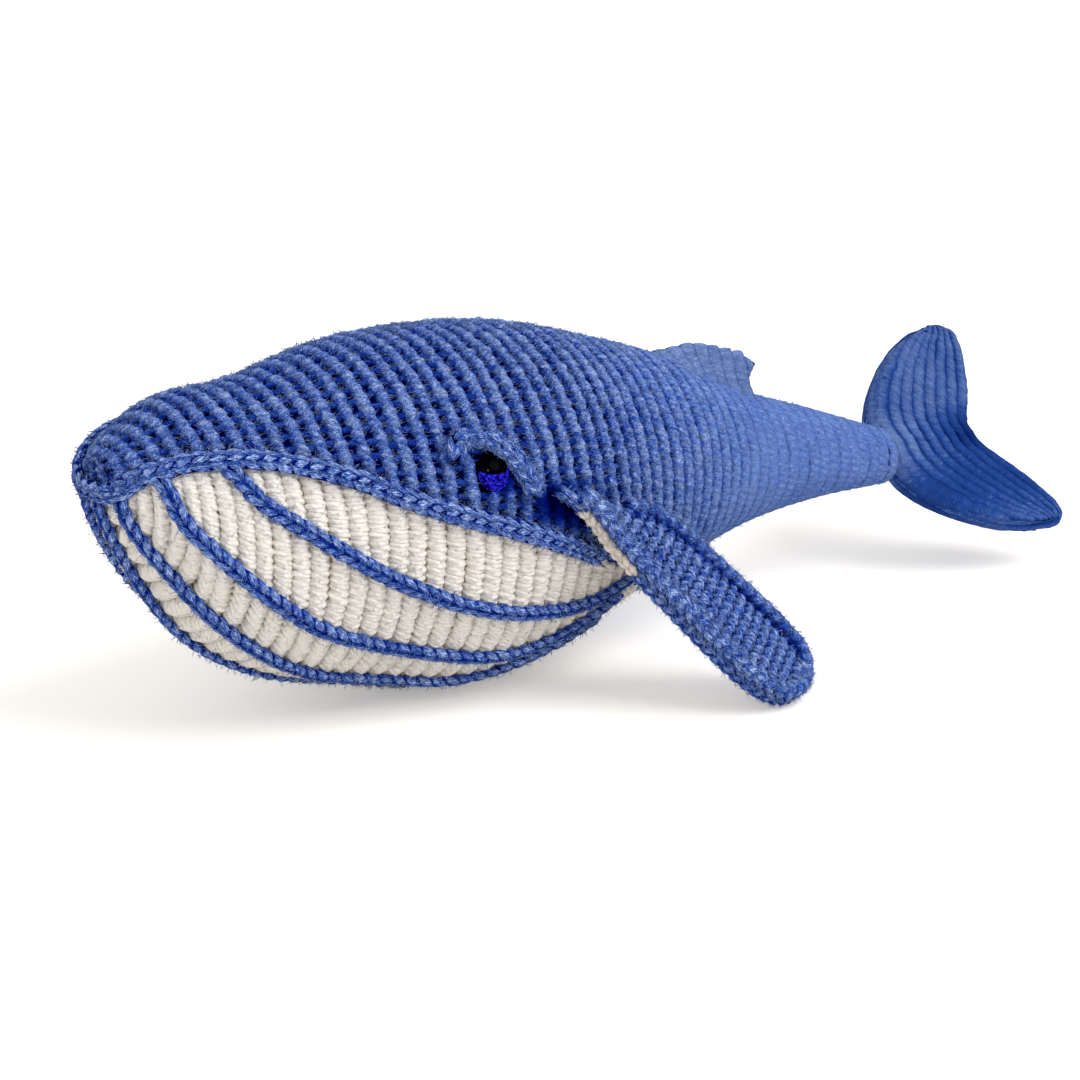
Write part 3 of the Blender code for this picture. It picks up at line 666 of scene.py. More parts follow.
@dataclass(frozen=True)
class Rope:
    """A ridge of worked yarn that runs on without a break, a little plumper at each stitch."""

    sides: int = 10
    step: float = 0.0009
    swell: float = 0.10
    stray: float = 0.00020
    # shade: how much darker the flanks and underside are than the crown, as painted shade
    shade: float = 0.66

    def lay(self, stitcher: Stitcher, points: np.ndarray, ups: np.ndarray, half_width: float | np.ndarray,
            half_height: float | np.ndarray, pitch: float, tone: float | np.ndarray,
            hairs_per_mm: float, calm: float = 0.0) -> Shape:
        """Sweep the ridge along a line.

        Args:
            stitcher: What gives it its small faults and its loose fibres.
            points: The line through its middle.
            ups: Its outward directions.
            half_width: Half its width, at all points or at each.
            half_height: Half its height, at all points or at each.
            pitch: The length of a stitch.
            tone: The tone of its crown, at all points or at each.
            hairs_per_mm: How many loose fibres stand off each millimetre.
            calm: How far the stitches have flattened out, up to 1.

        Returns:
            The closed ridge with its fibres.
        """
        stations = spread(points, self.step, centred=False)
        count = len(stations)
        line = between(points, stations)
        wide, high, light = (between(np.broadcast_to(value, len(points))[:, None], stations)
                             for value in (half_width, half_height, tone))
        along = unit(np.gradient(line, axis=0))
        side = unit(np.cross(unit(between(ups, stations)), along))
        lift = np.cross(along, side)
        reach = reach_along(line)
        beat = np.cos(TURN * (reach / pitch + stitcher.rng.random()))[:, None]
        window = max(3, round(pitch / self.step))
        drift = stitcher.rng.normal(0.0, 1.0, (count + window - 1, 2))
        drift = np.stack([np.convolve(drift[:, i], np.ones(window) / math.sqrt(window), "valid")
                          for i in range(2)], axis=-1)
        near_end = np.clip(np.minimum(reach, reach[-1] - reach)[:, None] / np.maximum(wide, 1e-6), 0.02, 1.0)
        fat = 1 + (self.swell * beat + 0.05 * drift[:, :1]) * (1 - calm)
        fat = fat * np.sqrt(1 - (1 - near_end) ** 2)
        line = line + side * (drift[:, 1:] * self.stray)
        turn = np.arange(self.sides) / self.sides * TURN - TURN / 4
        across, upward = np.cos(turn)[None, :, None], np.sin(turn)[None, :, None]
        rings = (line[:, None] + side[:, None] * across * (wide * fat)[:, None]
                 + lift[:, None] * upward * (high * fat)[:, None])
        crown = (1 + np.sin(turn)[None]) / 2
        # Painted shade: each stitch a touch darker at its waist, with a little random drift, and the flanks
        # darker than the crown, less so where the stitches have flattened
        tones = light * (1 + (0.05 * beat + 0.04 * drift[:, :1]) * (1 - calm))
        tones = tones * (1 - self.shade * (1 - 0.8 * calm) * (1 - crown))
        ends = line[[0, -1]] + along[[0, -1]] * np.array((-1.0, 1.0))[:, None] * 0.0001
        tube = Shape.of_rings(rings, ends, reach + stitcher.rng.random() * 0.05, tones)
        total = int(hairs_per_mm * reach[-1] / MM)
        if not total:
            return tube
        owner = stitcher.rng.integers(0, count, total)
        tilt = stitcher.rng.uniform(-1.5, 1.5, (total, 1))
        aside, over = side[owner] * np.sin(tilt), lift[owner] * np.cos(tilt)
        roots = line[owner] + (aside * wide[owner] + over * high[owner]) * fat[owner] * 0.95
        outward = unit(aside / wide[owner] + over / high[owner])
        return joined((tube, stitcher.fluff(roots, outward, side[owner] * np.sign(tilt) * 0.75)))


def srgb(code: str) -> tuple[float, float, float, float]:
    """Turn an sRGB hex colour to linear.

    Args:
        code: Six hex digits.

    Returns:
        The linear colour with an alpha of one.
    """
    parts = [int(code[i:i + 2], 16) / 255 for i in (0, 2, 4)]
    linear = [part / 12.92 if part <= 0.04045 else ((part + 0.055) / 1.055) ** 2.4 for part in parts]
    return (*linear, 1.0)


def add_node(tree: bpy.types.NodeTree, kind: str, inputs: dict | None = None,
             stops: Sequence[tuple[float, str]] = (), **settings) -> bpy.types.Node:
    """Add a node with its settings and links.

    Args:
        tree: The material's node tree.
        kind: The node's type.
        inputs: A value, or the socket of another node, for each input by name or number.
        stops: A place and an sRGB hex colour for each stop of a colour ramp.
        **settings: The node's own settings.

    Returns:
        The node.
    """
    node = tree.nodes.new(kind)
    for name, value in settings.items():
        setattr(node, name, value)
    for key, value in (inputs or {}).items():
        if isinstance(value, bpy.types.NodeSocket):
            tree.links.new(value, node.inputs[key])
        else:
            node.inputs[key].default_value = value
    elements = node.color_ramp.elements if stops else ()
    while len(elements) < len(stops):
        elements.new(0.5)
    for element, (place, code) in zip(elements, stops):
        element.position = place
        element.color = srgb(code)
    return node


def new_material(name: str) -> tuple[bpy.types.Material, bpy.types.NodeTree, bpy.types.Node]:
    """Make a material.

    Args:
        name: Its name.

    Returns:
        The material, its node tree and its main shader.
    """
    material = bpy.data.materials.new(name)
    material.use_nodes = True
    tree = material.node_tree
    return material, tree, tree.nodes["Principled BSDF"]


@dataclass(frozen=True)
class CottonYarn:
    """Combed cotton yarn, three plies twisted together.

    It gives the eye matte, slightly hairy ropes: lighter fibres along the crowns are painted light, caught
    there, a fine twist runs aslant in painted lighter and darker stripes, and the gaps between the loops
    fall away into a deep tone of painted shade.
    """

    name: str
    # fold, hole and groove are painted shade, body is the yarn's own colour, crown and fibre are painted
    # light
    fold: str
    hole: str
    groove: str
    body: str
    crown: str
    fibre: str
    tones: tuple[float, ...] = (0.0, 0.12, 0.34, 0.62, 0.86, 1.0)
    streak: tuple[float, float] = (0.45, 9.0)
    streak_scale: float = 2.4
    streak_range: tuple[float, float] = (0.44, 0.58)
    tangle: float = 0.8
    streak_depth: float = 0.36
    patch_range: tuple[float, float] = (0.35, 0.62)
    patch_floor: float = 0.35
    blotch_scale: float = 60.0
    blotch_depth: float = 0.12
    ply_depth: float = 0.09
    ply_relief: float = 0.3
    ply_pitch_mm: float = 2.6
    plies: int = 3
    fibre_width_mm: float = 0.16
    twist_depth_mm: float = 0.30
    roughness: float = 0.92
    rough_end: float = 0.04
    smooth_start: float = 0.13
    smoothed: float = 0.38

    def build(self) -> bpy.types.Material:
        """Build the material from its colours and sizes."""
        material, tree, shader = new_material(self.name)
        tone = add_node(tree, "ShaderNodeAttribute", attribute_name="tone").outputs["Fac"]
        yarn = add_node(tree, "ShaderNodeUVMap", uv_map="yarn").outputs["UV"]
        parts = add_node(tree, "ShaderNodeSeparateXYZ", {0: yarn})
        around = add_node(tree, "ShaderNodeMath", {0: parts.outputs["Y"], 1: TURN * self.plies},
                          operation="MULTIPLY").outputs[0]
        twist = add_node(tree, "ShaderNodeMath",
                         {0: parts.outputs["X"], 1: TURN / self.ply_pitch_mm, 2: around},
                         operation="MULTIPLY_ADD").outputs[0]
        ply = add_node(tree, "ShaderNodeMath", {0: twist}, operation="SINE").outputs[0]
        place = add_node(tree, "ShaderNodeTexCoord").outputs["Object"]
        streak = add_node(tree, "ShaderNodeMapping",
                          {"Vector": yarn, "Scale": (*self.streak, 1.0)})
        fibres = add_node(tree, "ShaderNodeTexNoise",
                          {"Vector": streak.outputs[0], "Scale": self.streak_scale, "Detail": 4.0,
                           "Roughness": 0.65, "Distortion": self.tangle})
        fluff = add_node(tree, "ShaderNodeTexNoise",
                         {"Vector": place, "Scale": 1 / (self.fibre_width_mm * 4 * MM), "Detail": 4.0,
                          "Roughness": 0.75, "Distortion": 1.4})
        blotch = add_node(tree, "ShaderNodeTexNoise",
                          {"Vector": place, "Scale": self.blotch_scale, "Detail": 2.0})
        strands = add_node(tree, "ShaderNodeMapRange",
                           {"Value": fibres.outputs["Fac"], "From Min": self.streak_range[0],
                            "From Max": self.streak_range[1]}).outputs[0]
        patches = add_node(tree, "ShaderNodeMapRange",
                           {"Value": fluff.outputs["Fac"], "From Min": self.patch_range[0],
                            "From Max": self.patch_range[1], "To Min": self.patch_floor,
                            "To Max": 1.0}).outputs[0]
        shown = add_node(tree, "ShaderNodeMath", {0: strands, 1: patches}, operation="MULTIPLY").outputs[0]
        way = add_node(tree, "ShaderNodeSeparateXYZ", {0: place}).outputs["Y"]
        fresh = add_node(tree, "ShaderNodeMapRange",
                         {"Value": way, "From Min": self.rough_end, "From Max": self.smooth_start,
                          "To Min": 1.0, "To Max": self.smoothed}).outputs[0]
        depth = add_node(tree, "ShaderNodeMath", {0: fresh, 1: self.streak_depth},
                         operation="MULTIPLY").outputs[0]
        shown = add_node(tree, "ShaderNodeMath", {0: shown, 1: 0.45}, operation="SUBTRACT").outputs[0]
        # The twist's stripes and the fibre streaks are painted light and shade on top of the tone
        shown = add_node(tree, "ShaderNodeMath", {0: ply, 1: self.ply_depth, 2: shown},
                         operation="MULTIPLY_ADD").outputs[0]
        light = add_node(tree, "ShaderNodeMath",
                         {0: blotch.outputs["Fac"], 1: self.blotch_depth, 2: 1 - self.blotch_depth / 2},
                         operation="MULTIPLY_ADD").outputs[0]
        light = add_node(tree, "ShaderNodeMath", {0: shown, 1: depth, 2: light},
                         operation="MULTIPLY_ADD").outputs[0]
        light = add_node(tree, "ShaderNodeMath", {0: light, 1: tone}, operation="MULTIPLY").outputs[0]
        colours = (self.fold, self.hole, self.groove, self.body, self.crown, self.fibre)
        colour = add_node(tree, "ShaderNodeValToRGB", {"Fac": light}, tuple(zip(self.tones, colours)))
        tree.links.new(colour.outputs["Color"], shader.inputs["Base Color"])
        relief = add_node(tree, "ShaderNodeMath", {0: ply, 1: self.ply_relief, 2: strands},
                          operation="MULTIPLY_ADD").outputs[0]
        bump = add_node(tree, "ShaderNodeBump",
                        {"Height": relief, "Strength": 1.0, "Distance": self.twist_depth_mm * MM})
        tree.links.new(bump.outputs[0], shader.inputs["Normal"])
        shader.inputs["Roughness"].default_value = self.roughness
        shader.inputs["Specular IOR Level"].default_value = 0.0
        return material


@dataclass(frozen=True)
class GlitterEye:
    """A moulded acrylic safety eye with glitter under the clear dome.

    It gives the eye a black pupil, which also stands for painted shadow under the lid, deep blue flakes of
    which some are painted lighter as glints, and a hard highlight.
    """

    name: str = "clear_acrylic_over_blue_glitter"
    pupil: str = "010104"
    iris: str = "04024E"
    flake: str = "322EF0"
    flake_size_mm: float = 0.55

    def build(self) -> bpy.types.Material:
        """Build the material from its colours and sizes."""
        material, tree, shader = new_material(self.name)
        radius = add_node(tree, "ShaderNodeAttribute", attribute_name="tone").outputs["Fac"]
        place = add_node(tree, "ShaderNodeTexCoord").outputs["Object"]
        flakes = add_node(tree, "ShaderNodeTexVoronoi",
                          {"Vector": place, "Scale": 1 / (self.flake_size_mm * MM)})
        # Some flakes are painted lighter, as glints on the glitter
        painted_glint = add_node(tree, "ShaderNodeMapRange",
                         {"Value": flakes.outputs["Color"], "From Min": 0.45, "From Max": 0.85}).outputs[0]
        glitter = add_node(tree, "ShaderNodeMix", {0: painted_glint, 6: srgb(self.iris), 7: srgb(self.flake)},
                           data_type="RGBA").outputs[2]
        iris = add_node(tree, "ShaderNodeMapRange",
                        {"Value": radius, "From Min": 0.82, "From Max": 0.88}).outputs[0]
        # The pupil's black also fills the painted shadow under the lid and round the rim
        colour = add_node(tree, "ShaderNodeMix", {0: iris, 6: srgb(self.pupil), 7: glitter},
                          data_type="RGBA").outputs[2]
        tree.links.new(colour, shader.inputs["Base Color"])
        tilt = add_node(tree, "ShaderNodeBump",
                        {"Height": flakes.outputs["Color"], "Strength": 0.5, "Distance": 0.1 * MM})
        tree.links.new(tilt.outputs[0], shader.inputs["Normal"])
        shader.inputs["Roughness"].default_value = 0.35
        shader.inputs["Specular IOR Level"].default_value = 0.0
        shader.inputs["Coat Weight"].default_value = 0.02
        shader.inputs["Coat Roughness"].default_value = 0.03
        return material


@dataclass(frozen=True)
class GrainedFinish:
    """A finish of two close shades and a shallow relief, which share one grain."""

    name: str
    colours: tuple[str, str]
    shares: tuple[float, float]
    grain_mm: float
    detail: float
    tangle: float
    relief: float
    relief_mm: float
    roughness: float

    def build(self) -> bpy.types.Material:
        """Build the material from its colours and sizes."""
        material, tree, shader = new_material(self.name)
        place = add_node(tree, "ShaderNodeTexCoord").outputs["Object"]
        grain = add_node(tree, "ShaderNodeTexNoise",
                         {"Vector": place, "Scale": 1 / (self.grain_mm * MM), "Detail": self.detail,
                          "Distortion": self.tangle}).outputs["Fac"]
        colour = add_node(tree, "ShaderNodeValToRGB", {"Fac": grain}, tuple(zip(self.shares, self.colours)))
        tree.links.new(colour.outputs["Color"], shader.inputs["Base Color"])
        bump = add_node(tree, "ShaderNodeBump",
                        {"Height": grain, "Strength": self.relief, "Distance": self.relief_mm * MM})
        tree.links.new(bump.outputs[0], shader.inputs["Normal"])
        shader.inputs["Roughness"].default_value = self.roughness
        return material


@dataclass(frozen=True)
class SweepPaper:
    """Matte white paper, with a faint tooth and pure white where the eye looks straight at it."""

    name: str = "matte_white_paper"
    colour: str = "F6F1EA"
    glow: float = 0.30

    def build(self) -> bpy.types.Material:
        """Build the material from its colour."""
        material, tree, shader = new_material(self.name)
        place = add_node(tree, "ShaderNodeTexCoord").outputs["Object"]
        tooth = add_node(tree, "ShaderNodeTexNoise", {"Vector": place, "Scale": 900.0, "Detail": 2.0})
        bump = add_node(tree, "ShaderNodeBump",
                        {"Height": tooth.outputs["Fac"], "Strength": 0.1, "Distance": 0.05 * MM})
        tree.links.new(bump.outputs[0], shader.inputs["Normal"])
        looked_at = add_node(tree, "ShaderNodeLightPath").outputs["Is Camera Ray"]
        glow = add_node(tree, "ShaderNodeMath", {0: looked_at, 1: self.glow},
                        operation="MULTIPLY").outputs[0]
        tree.links.new(glow, shader.inputs["Emission Strength"])
        shader.inputs["Emission Color"].default_value = (1.0, 1.0, 1.0, 1.0)
        shader.inputs["Base Color"].default_value = srgb(self.colour)
        shader.inputs["Roughness"].default_value = 1.0
        shader.inputs["Specular IOR Level"].default_value = 0.0
        return material


# Black moulded nylon: a faint mould grain and a satin shine
BLACK_NYLON = GrainedFinish("black_moulded_nylon", ("17171A", "26262B"), (0.35, 0.7), grain_mm=0.3,
                            detail=3.0, tangle=0.0, relief=0.3, relief_mm=0.05, roughness=0.42)
# Carded polyester fibre: soft white tufts with fine strands
FIBRE_FILL = GrainedFinish("carded_polyester_fibre", ("E4E3DF", "F4F4F2"), (0.3, 0.7), grain_mm=6.0,
                           detail=6.0, tangle=2.0, relief=0.6, relief_mm=0.6, roughness=0.95)
# Cotton yarn: brushed to a haze on the back, the brushed yarn again with painted shade on the fin and
# flukes, combed and crisp on the chains. Each ramp runs from painted shade in folds, holes and grooves,
# through the yarn's own colour, to painted light on crowns and loose fibres
BRUSHED_YARN = CottonYarn("blue_brushed_cotton", fold="00020E", hole="000864", groove="041C88",
                          body="2450BE", crown="90B2F6", fibre="C2D6FF", streak=(1.1, 3.2), tangle=2.2,
                          streak_depth=0.62)
# The fin and flukes' yarn: the brushed yarn with painted shade, its holes, grooves, body and crowns darker
# and greyer
BRUSHED_YARN_PAINTED_SHADE = CottonYarn("blue_felted_cotton", fold="00020E", hole="000440", groove="0C2670",
                         body="2E56AC", crown="88A4E0", fibre="B8CAF4", streak=(1.1, 3.2), tangle=2.2,
                         streak_depth=0.62, smoothed=0.30)
BLUE_YARN = CottonYarn("blue_combed_cotton", fold="00020E", hole="000440", groove="041C80",
                       body="2A52B4", crown="8CAAE8", fibre="BED2FF", streak=(0.2, 8.0), tangle=0.5,
                       streak_depth=0.62)
CREAM_YARN = CottonYarn("cream_combed_cotton", fold="5A4A3C", hole="8A7866", groove="D5C7B9",
                        body="E9E5DE", crown="EEEAE4", fibre="F1EEE9", streak=(0.3, 5.0), tangle=0.5,
                        streak_depth=0.22, twist_depth_mm=0.14, smoothed=1.0)


def joint_place(name: str) -> Sequence[float]:
    """Return where a joint of the record lies."""
    return next(joint["pos_m"] for joint in frame["joints"] if joint["name"] == name)


def dress(name: str, shape: Shape, material: bpy.types.Material, body: str,
          nodes: Sequence[str]) -> bpy.types.Object:
    """Make a piece of the whale and give it its place among the solids.

    Args:
        name: The piece's name.
        shape: Its mesh.
        material: Its material.
        body: The body that it moves with.
        nodes: The solids that it stands for.

    Returns:
        The piece.
    """
    item = shape.to_object(name, material)
    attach(item, body)
    if nodes:
        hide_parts(*nodes)
    LOG.info("%s: %d faces on %s", name, len(item.data.polygons), body)
    return item


@dataclass(frozen=True)
class BodyForm:
    """The stuffed form from the nose to the end of the tail stock."""

    length: float = 0.341
    height: float = 0.1206
    width: float = 0.1066
    nose_reach: float = 0.1266
    rest_height: float = 0.0028
    pole_share: float = 0.0001
    step: float = 0.001

    def section(self, share: np.ndarray) -> tuple[np.ndarray, np.ndarray, np.ndarray]:
        """Return the middle height, half height and half width of sections."""
        rows = [(math.sqrt(row[0]), *row[1:]) for row in BODY_SHARES]
        top, bottom, width = smooth_curve(rows, np.sqrt(np.clip(share, 0.0, 1.0))).T
        middle = self.rest_height + self.height * (top + bottom) / 2
        return middle, self.height * (top - bottom) / 2, self.width * width / 2

    def surface(self, share: np.ndarray, angle: np.ndarray) -> np.ndarray:
        """Return points on the cover, at angles from the top towards +X."""
        share, angle = np.broadcast_arrays(np.asarray(share, float), np.asarray(angle, float))
        middle, half_height, half_width = self.section(share.ravel())
        flat = angle.ravel()
        points = np.stack((half_width * np.sin(flat), share.ravel() * self.length - self.nose_reach,
                           middle + half_height * np.cos(flat)), axis=-1)
        return points.reshape(*share.shape, 3)

    def frames(self, share: np.ndarray, angle: np.ndarray) -> tuple[np.ndarray, ...]:
        """Return points on the cover, and the outward, the round and the backward direction there."""
        share = np.maximum(np.asarray(share, float), self.pole_share)
        before = np.maximum(share - self.step, self.pole_share)
        after = np.minimum(share + self.step, 1.0)
        back = unit(self.surface(after, angle) - self.surface(before, angle))
        around = unit(self.surface(share, angle + self.step) - self.surface(share, angle - self.step))
        normal = unit(np.cross(around, back))
        return self.surface(share, angle), normal, around, back

    def at(self, share: np.ndarray, angle: np.ndarray, offset: float | np.ndarray) -> np.ndarray:
        """Return points at a distance outside the cover, or inside if negative."""
        place, normal, _, _ = self.frames(share, angle)
        return place + normal * (offset if np.isscalar(offset) else np.asarray(offset)[..., None])

    def seam_angle(self, share: np.ndarray) -> np.ndarray:
        """Return the angle from the top at which the seam crosses sections, half a turn where it doesn't."""
        share = np.asarray(share, float)
        middle, half_height, _ = self.section(share.ravel())
        known = np.clip(share.ravel(), SEAM_LINE_SHARES[0][0], SEAM_LINE_SHARES[-1][0])
        heights = self.rest_height + self.height * smooth_curve(SEAM_LINE_SHARES, known)[:, 0]
        level = np.clip((heights - middle) / np.maximum(half_height, 1e-9), -1.0, 1.0)
        return np.arccos(level).reshape(share.shape)

    def seam_ends(self) -> tuple[float, float]:
        """Return the shares between which the belly lies."""
        shares = np.linspace(0.01, 1.0, 4000) ** 2
        crossed = shares[self.seam_angle(shares) < math.pi - 1e-6]
        return float(crossed[0]), float(crossed[-1])

    def rib_shares(self, angle: float, start: float, end: float, count: int) -> np.ndarray:
        """Return where ribs lie, evenly spaced along the cover at an angle.

        Args:
            angle: The angle from the top of the line that they are spaced on.
            start: The share where the first gap starts.
            end: The share where the last gap ends.
            count: How many ribs there are.

        Returns:
            The share of each rib.
        """
        shares = np.linspace(math.sqrt(start), math.sqrt(end), 2000) ** 2
        line = self.surface(shares, np.full(shares.shape, angle))
        reach = reach_along(line)
        return np.interp((np.arange(count) + 0.5) / count * reach[-1], reach, shares)

    def path(self, places: np.ndarray, offset: float, count: int) -> tuple[np.ndarray, np.ndarray]:
        """Return evenly spaced points above a line of places on the cover, and their outward directions."""
        line = self.surface(places[:, 0], places[:, 1])
        stations = spread(line, np.linalg.norm(np.diff(line, axis=0), axis=1).sum() / count, centred=False)
        even = between(places, stations)
        point, normal, _, _ = self.frames(even[:, 0], even[:, 1])
        return point + normal * offset, normal


BODY = BodyForm()


@dataclass(frozen=True)
class Braid:
    """A crochet chain: rows of slanted legs laid over a core."""

    width: float = 0.0054
    height: float = 0.0030
    pitch: float = 0.0046
    leg_length: float = 0.0062
    leg_width: float = 0.0021
    leg_height: float = 0.0019
    slant: float = math.radians(24)
    rows: tuple[float, ...] = (-38, 38)
    leans: tuple[int, ...] = (1, -1)
    core_share: float = 0.42
    core_sides: int = 10
    tone: float = 0.85
    # core_tone: the core sits darker than the legs, as painted shade between them
    core_tone: float = 0.25
    hairs: int = 3

    def lay(self, kit: "YarnKit", points: np.ndarray, ups: np.ndarray) -> Shape:
        """Braid along a line.

        Args:
            kit: What holds the leg and what copies it.
            points: The line through the middle of the chain.
            ups: Its outward directions.

        Returns:
            The core and the legs.
        """
        along = unit(np.gradient(points, axis=0))
        side = unit(np.cross(along, ups))
        lift = np.cross(side, along)
        parts = [self.core(points, side, lift)]
        stations = spread(points, self.pitch)
        place, forward = between(points, stations), unit(between(along, stations))
        across, upward = unit(between(side, stations)), unit(between(lift, stations))
        for row, lean in zip(self.rows, self.leans):
            offset, rise = math.sin(math.radians(row)), math.cos(math.radians(row))
            sunk = self.leg_height * 0.35
            origins = (place + across * (offset * (self.width / 2 - sunk))
                       + upward * (rise * (self.height / 2 - sunk)))
            crown = upward * rise + across * offset
            beside = across * rise - upward * offset
            heading = forward * math.cos(self.slant) + beside * (lean * math.sin(self.slant))
            sizes = np.tile((self.leg_length / 2, self.leg_width / 2, self.leg_height / 2), (len(place), 1))
            parts.append(kit.stitcher.lay(kit.chain_leg, origins, heading, crown, sizes, self.tone,
                                          self.hairs))
        return joined(parts)

    def core(self, points: np.ndarray, side: np.ndarray, lift: np.ndarray) -> Shape:
        """Sweep the closed core along the line."""
        turns = np.linspace(0, TURN, self.core_sides + 1)
        swell = np.ones(len(points))
        swell[[0, -1]] = 0.0
        swell[[1, -2]] = 0.7
        across = np.cos(turns)[None, :, None] * side[:, None] * (self.width * self.core_share)
        upward = np.sin(turns)[None, :, None] * lift[:, None] * (self.height * self.core_share)
        grid = points[:, None] + (across + upward) * swell[:, None, None]
        return Shape.of_grid(grid, False, self.core_tone).welded().turned_out()


@dataclass
class Covers:
    """The blue back, the cream belly and the fibre between them."""

    rope: Rope = Rope()
    back_stitch: float = 0.0047
    belly_stitch: float = 0.0014
    lap: float = 0.10
    seam_gap: float = 0.0003
    base_depth: float = 0.0022
    wall: float = 0.0020
    back_ribs: int = 56
    belly_ribs: int = 35
    rows: int = 90
    columns: int = 64
    eye_clear: float = 0.0044
    brow_clear: float = 0.0044
    eye_mound: tuple[float, float, float] = (0.0013, 0.0080, 0.0030)
    eye_bag: tuple[float, float, float] = (0.0020, 0.0050, 0.0016)
    bend_start: float = 0.178
    sway: float = 0.00025
    soft_start: float = 0.48
    soft_end: float = 0.76
    ridge_hairs: float = 3.4
    belly_hairs: int = 2
    rib_angle: float = 0.30 * math.pi
    belly_rib_angle: float = 0.72 * math.pi
    gap_limits: tuple[float, float] = (0.0022, 0.0074)
    belly_gap_limits: tuple[float, float] = (0.003, 0.011)
    crown_rise: float = 0.0008
    post_sink: float = 0.0010
    post_half_height: float = 0.0011
    eye_shade: tuple[float, float] = (0.0066, 0.92)
    root_shade: tuple[float, float] = (0.0060, 0.90)
    end_half_sizes: tuple[float, float] = (0.0017, 0.0012)
    end_rounds: tuple[tuple[float, float, float], ...] = (
        (0.90, -0.0013, 1.0), (0.66, -0.0006, 0.3), (0.40, -0.0004, 0.0), (0.16, -0.0004, 0.0))
    filling_inset: float = 0.0068
    filling_lump: float = 0.0006
    filling_columns: int = 48

    def angle_limits(self, share: np.ndarray, back: bool) -> tuple[np.ndarray, np.ndarray]:
        """Return the first and last angle of sections of one cover."""
        seam = BODY.seam_angle(share)
        _, _, half_width = BODY.section(share)
        gap = np.where(seam < math.pi - 1e-6, self.seam_gap / 2 / np.maximum(half_width, 1e-6), 0.0)
        if back:
            return gap - seam, seam - gap
        return np.minimum(seam + gap, math.pi), np.maximum(TURN - seam - gap, math.pi)

    def shell(self, back: bool, tone: float) -> Shape:
        """Build the closed wall that backs the stitches of one cover.

        Args:
            back: Whether it is the blue back, or the cream belly.
            tone: The tone of its surface, kept low as painted shade in the holes between the stitches.

        Returns:
            The wall, with its outer face below the stitches.
        """
        front, rear = BODY.seam_ends()
        if back:
            shares = np.concatenate((np.linspace(0.0, math.sqrt(front), 7)[1:-1] ** 2,
                                     np.linspace(math.sqrt(front), math.sqrt(rear), self.rows) ** 2,
                                     np.linspace(rear, 1.0, 24)[1:]))
        else:
            shares = np.linspace(math.sqrt(front), math.sqrt(rear), self.rows) ** 2
        first, last = self.angle_limits(shares, back)
        if not back:
            first[[0, -1]] = last[[0, -1]] = math.pi
        angles = first[:, None] + (last - first)[:, None] * np.linspace(0, 1, self.columns + 1)
        whole = np.tile(shares[:, None], (1, self.columns + 1))
        sheets = []
        for depth in (self.base_depth, self.base_depth + self.wall):
            sheet = BODY.at(whole, angles, -depth)
            if back:
                pole = BODY.surface(np.zeros(1), np.zeros(1)) + np.array((0.0, depth, 0.0))
                tail = sheet[-1].mean(axis=0)
                rim = sheet[-1] - np.array((0.0, depth, 0.0))
                caps = [tail + (rim - tail) * share for share in (1.0, 0.6, 0.0)]
                sheet = np.concatenate((np.tile(pole, (1, self.columns + 1, 1)), sheet[:-1], np.array(caps)))
            sheets.append(sheet)
        outer, inner = Shape.of_grid(sheets[0], False, tone), Shape.of_grid(sheets[1], True, tone)
        count, columns = sheets[0].shape[:2]
        at = np.arange(count * columns).reshape(count, columns)
        depth = count * columns
        opened = np.linalg.norm(sheets[0][:, 0] - sheets[0][:, -1], axis=-1) > WELD_REACH
        rims = []
        for row in range(count - 1):
            if opened[row] or opened[row + 1]:
                rims.append((at[row, 0], at[row + 1, 0], at[row + 1, 0] + depth, at[row, 0] + depth))
                rims.append((at[row + 1, -1], at[row, -1], at[row, -1] + depth, at[row + 1, -1] + depth))
        skin = joined((outer, inner))
        skin = replace(skin, quads=np.concatenate((skin.quads, np.array(rims, int).reshape(-1, 4))),
                       quad_map=np.concatenate((skin.quad_map, np.zeros((len(rims), 4, 2)))))
        return skin.welded().turned_out()

    def row_of(self, share: float, back: bool, stitch: float) -> tuple[np.ndarray, float]:
        """Return the angles of one rib's stitches and the distance between them."""
        first, last = self.angle_limits(np.array([share]), back)
        fine = np.linspace(first[0], last[0], 240)
        line = BODY.surface(np.full(fine.shape, share), fine)
        stations = spread(line, stitch)
        length = np.linalg.norm(np.diff(line, axis=0), axis=1).sum()
        return np.interp(stations, np.arange(len(fine)), fine), length / len(stations)

    def bulge(self, place: np.ndarray) -> tuple[np.ndarray, np.ndarray]:
        """Return which stitches an eye leaves in place, and how far those round it stand up."""
        kept, rise = np.full(len(place), True), np.zeros(len(place))
        share, half_turns = EYE_PLACE_SHARES
        for angle in (math.pi * half_turns, -math.pi * half_turns):
            eye = BODY.surface(np.array([share]), np.array([angle]))
            away = np.linalg.norm(place - eye, axis=1)
            aim = (place - eye) / away[:, None]
            above = np.clip(0.8 * aim[:, 2] + 0.6 * aim[:, 1], 0.0, 1.0)
            kept &= away > self.eye_clear + self.brow_clear * above
            below = np.clip(-2 * aim[:, 2], 0.0, 1.0)
            for (height, middle, width), where in ((self.eye_mound, 1.0), (self.eye_bag, below)):
                rise += height * np.exp(-((away - middle) / width) ** 2) * where
        return kept, rise

    def softness(self, share: np.ndarray) -> np.ndarray:
        """Return how far the ribs have softened, from 0 on the head to 1 on the tail stock."""
        return np.clip((share - self.soft_start) / (self.soft_end - self.soft_start), 0.0, 1.0)

    def rib_line(self, stitcher: Stitcher, share: float,
                 angles: np.ndarray) -> tuple[np.ndarray, np.ndarray]:
        """Let a rib sway a little along the body."""
        phases = stitcher.rng.uniform(0.0, TURN, 2)
        sway = np.sin(2.3 * angles + phases[0]) + 0.7 * np.sin(5.1 * angles + phases[1])
        return np.clip(share + self.sway / BODY.length * sway, BODY.pole_share, 1.0), angles

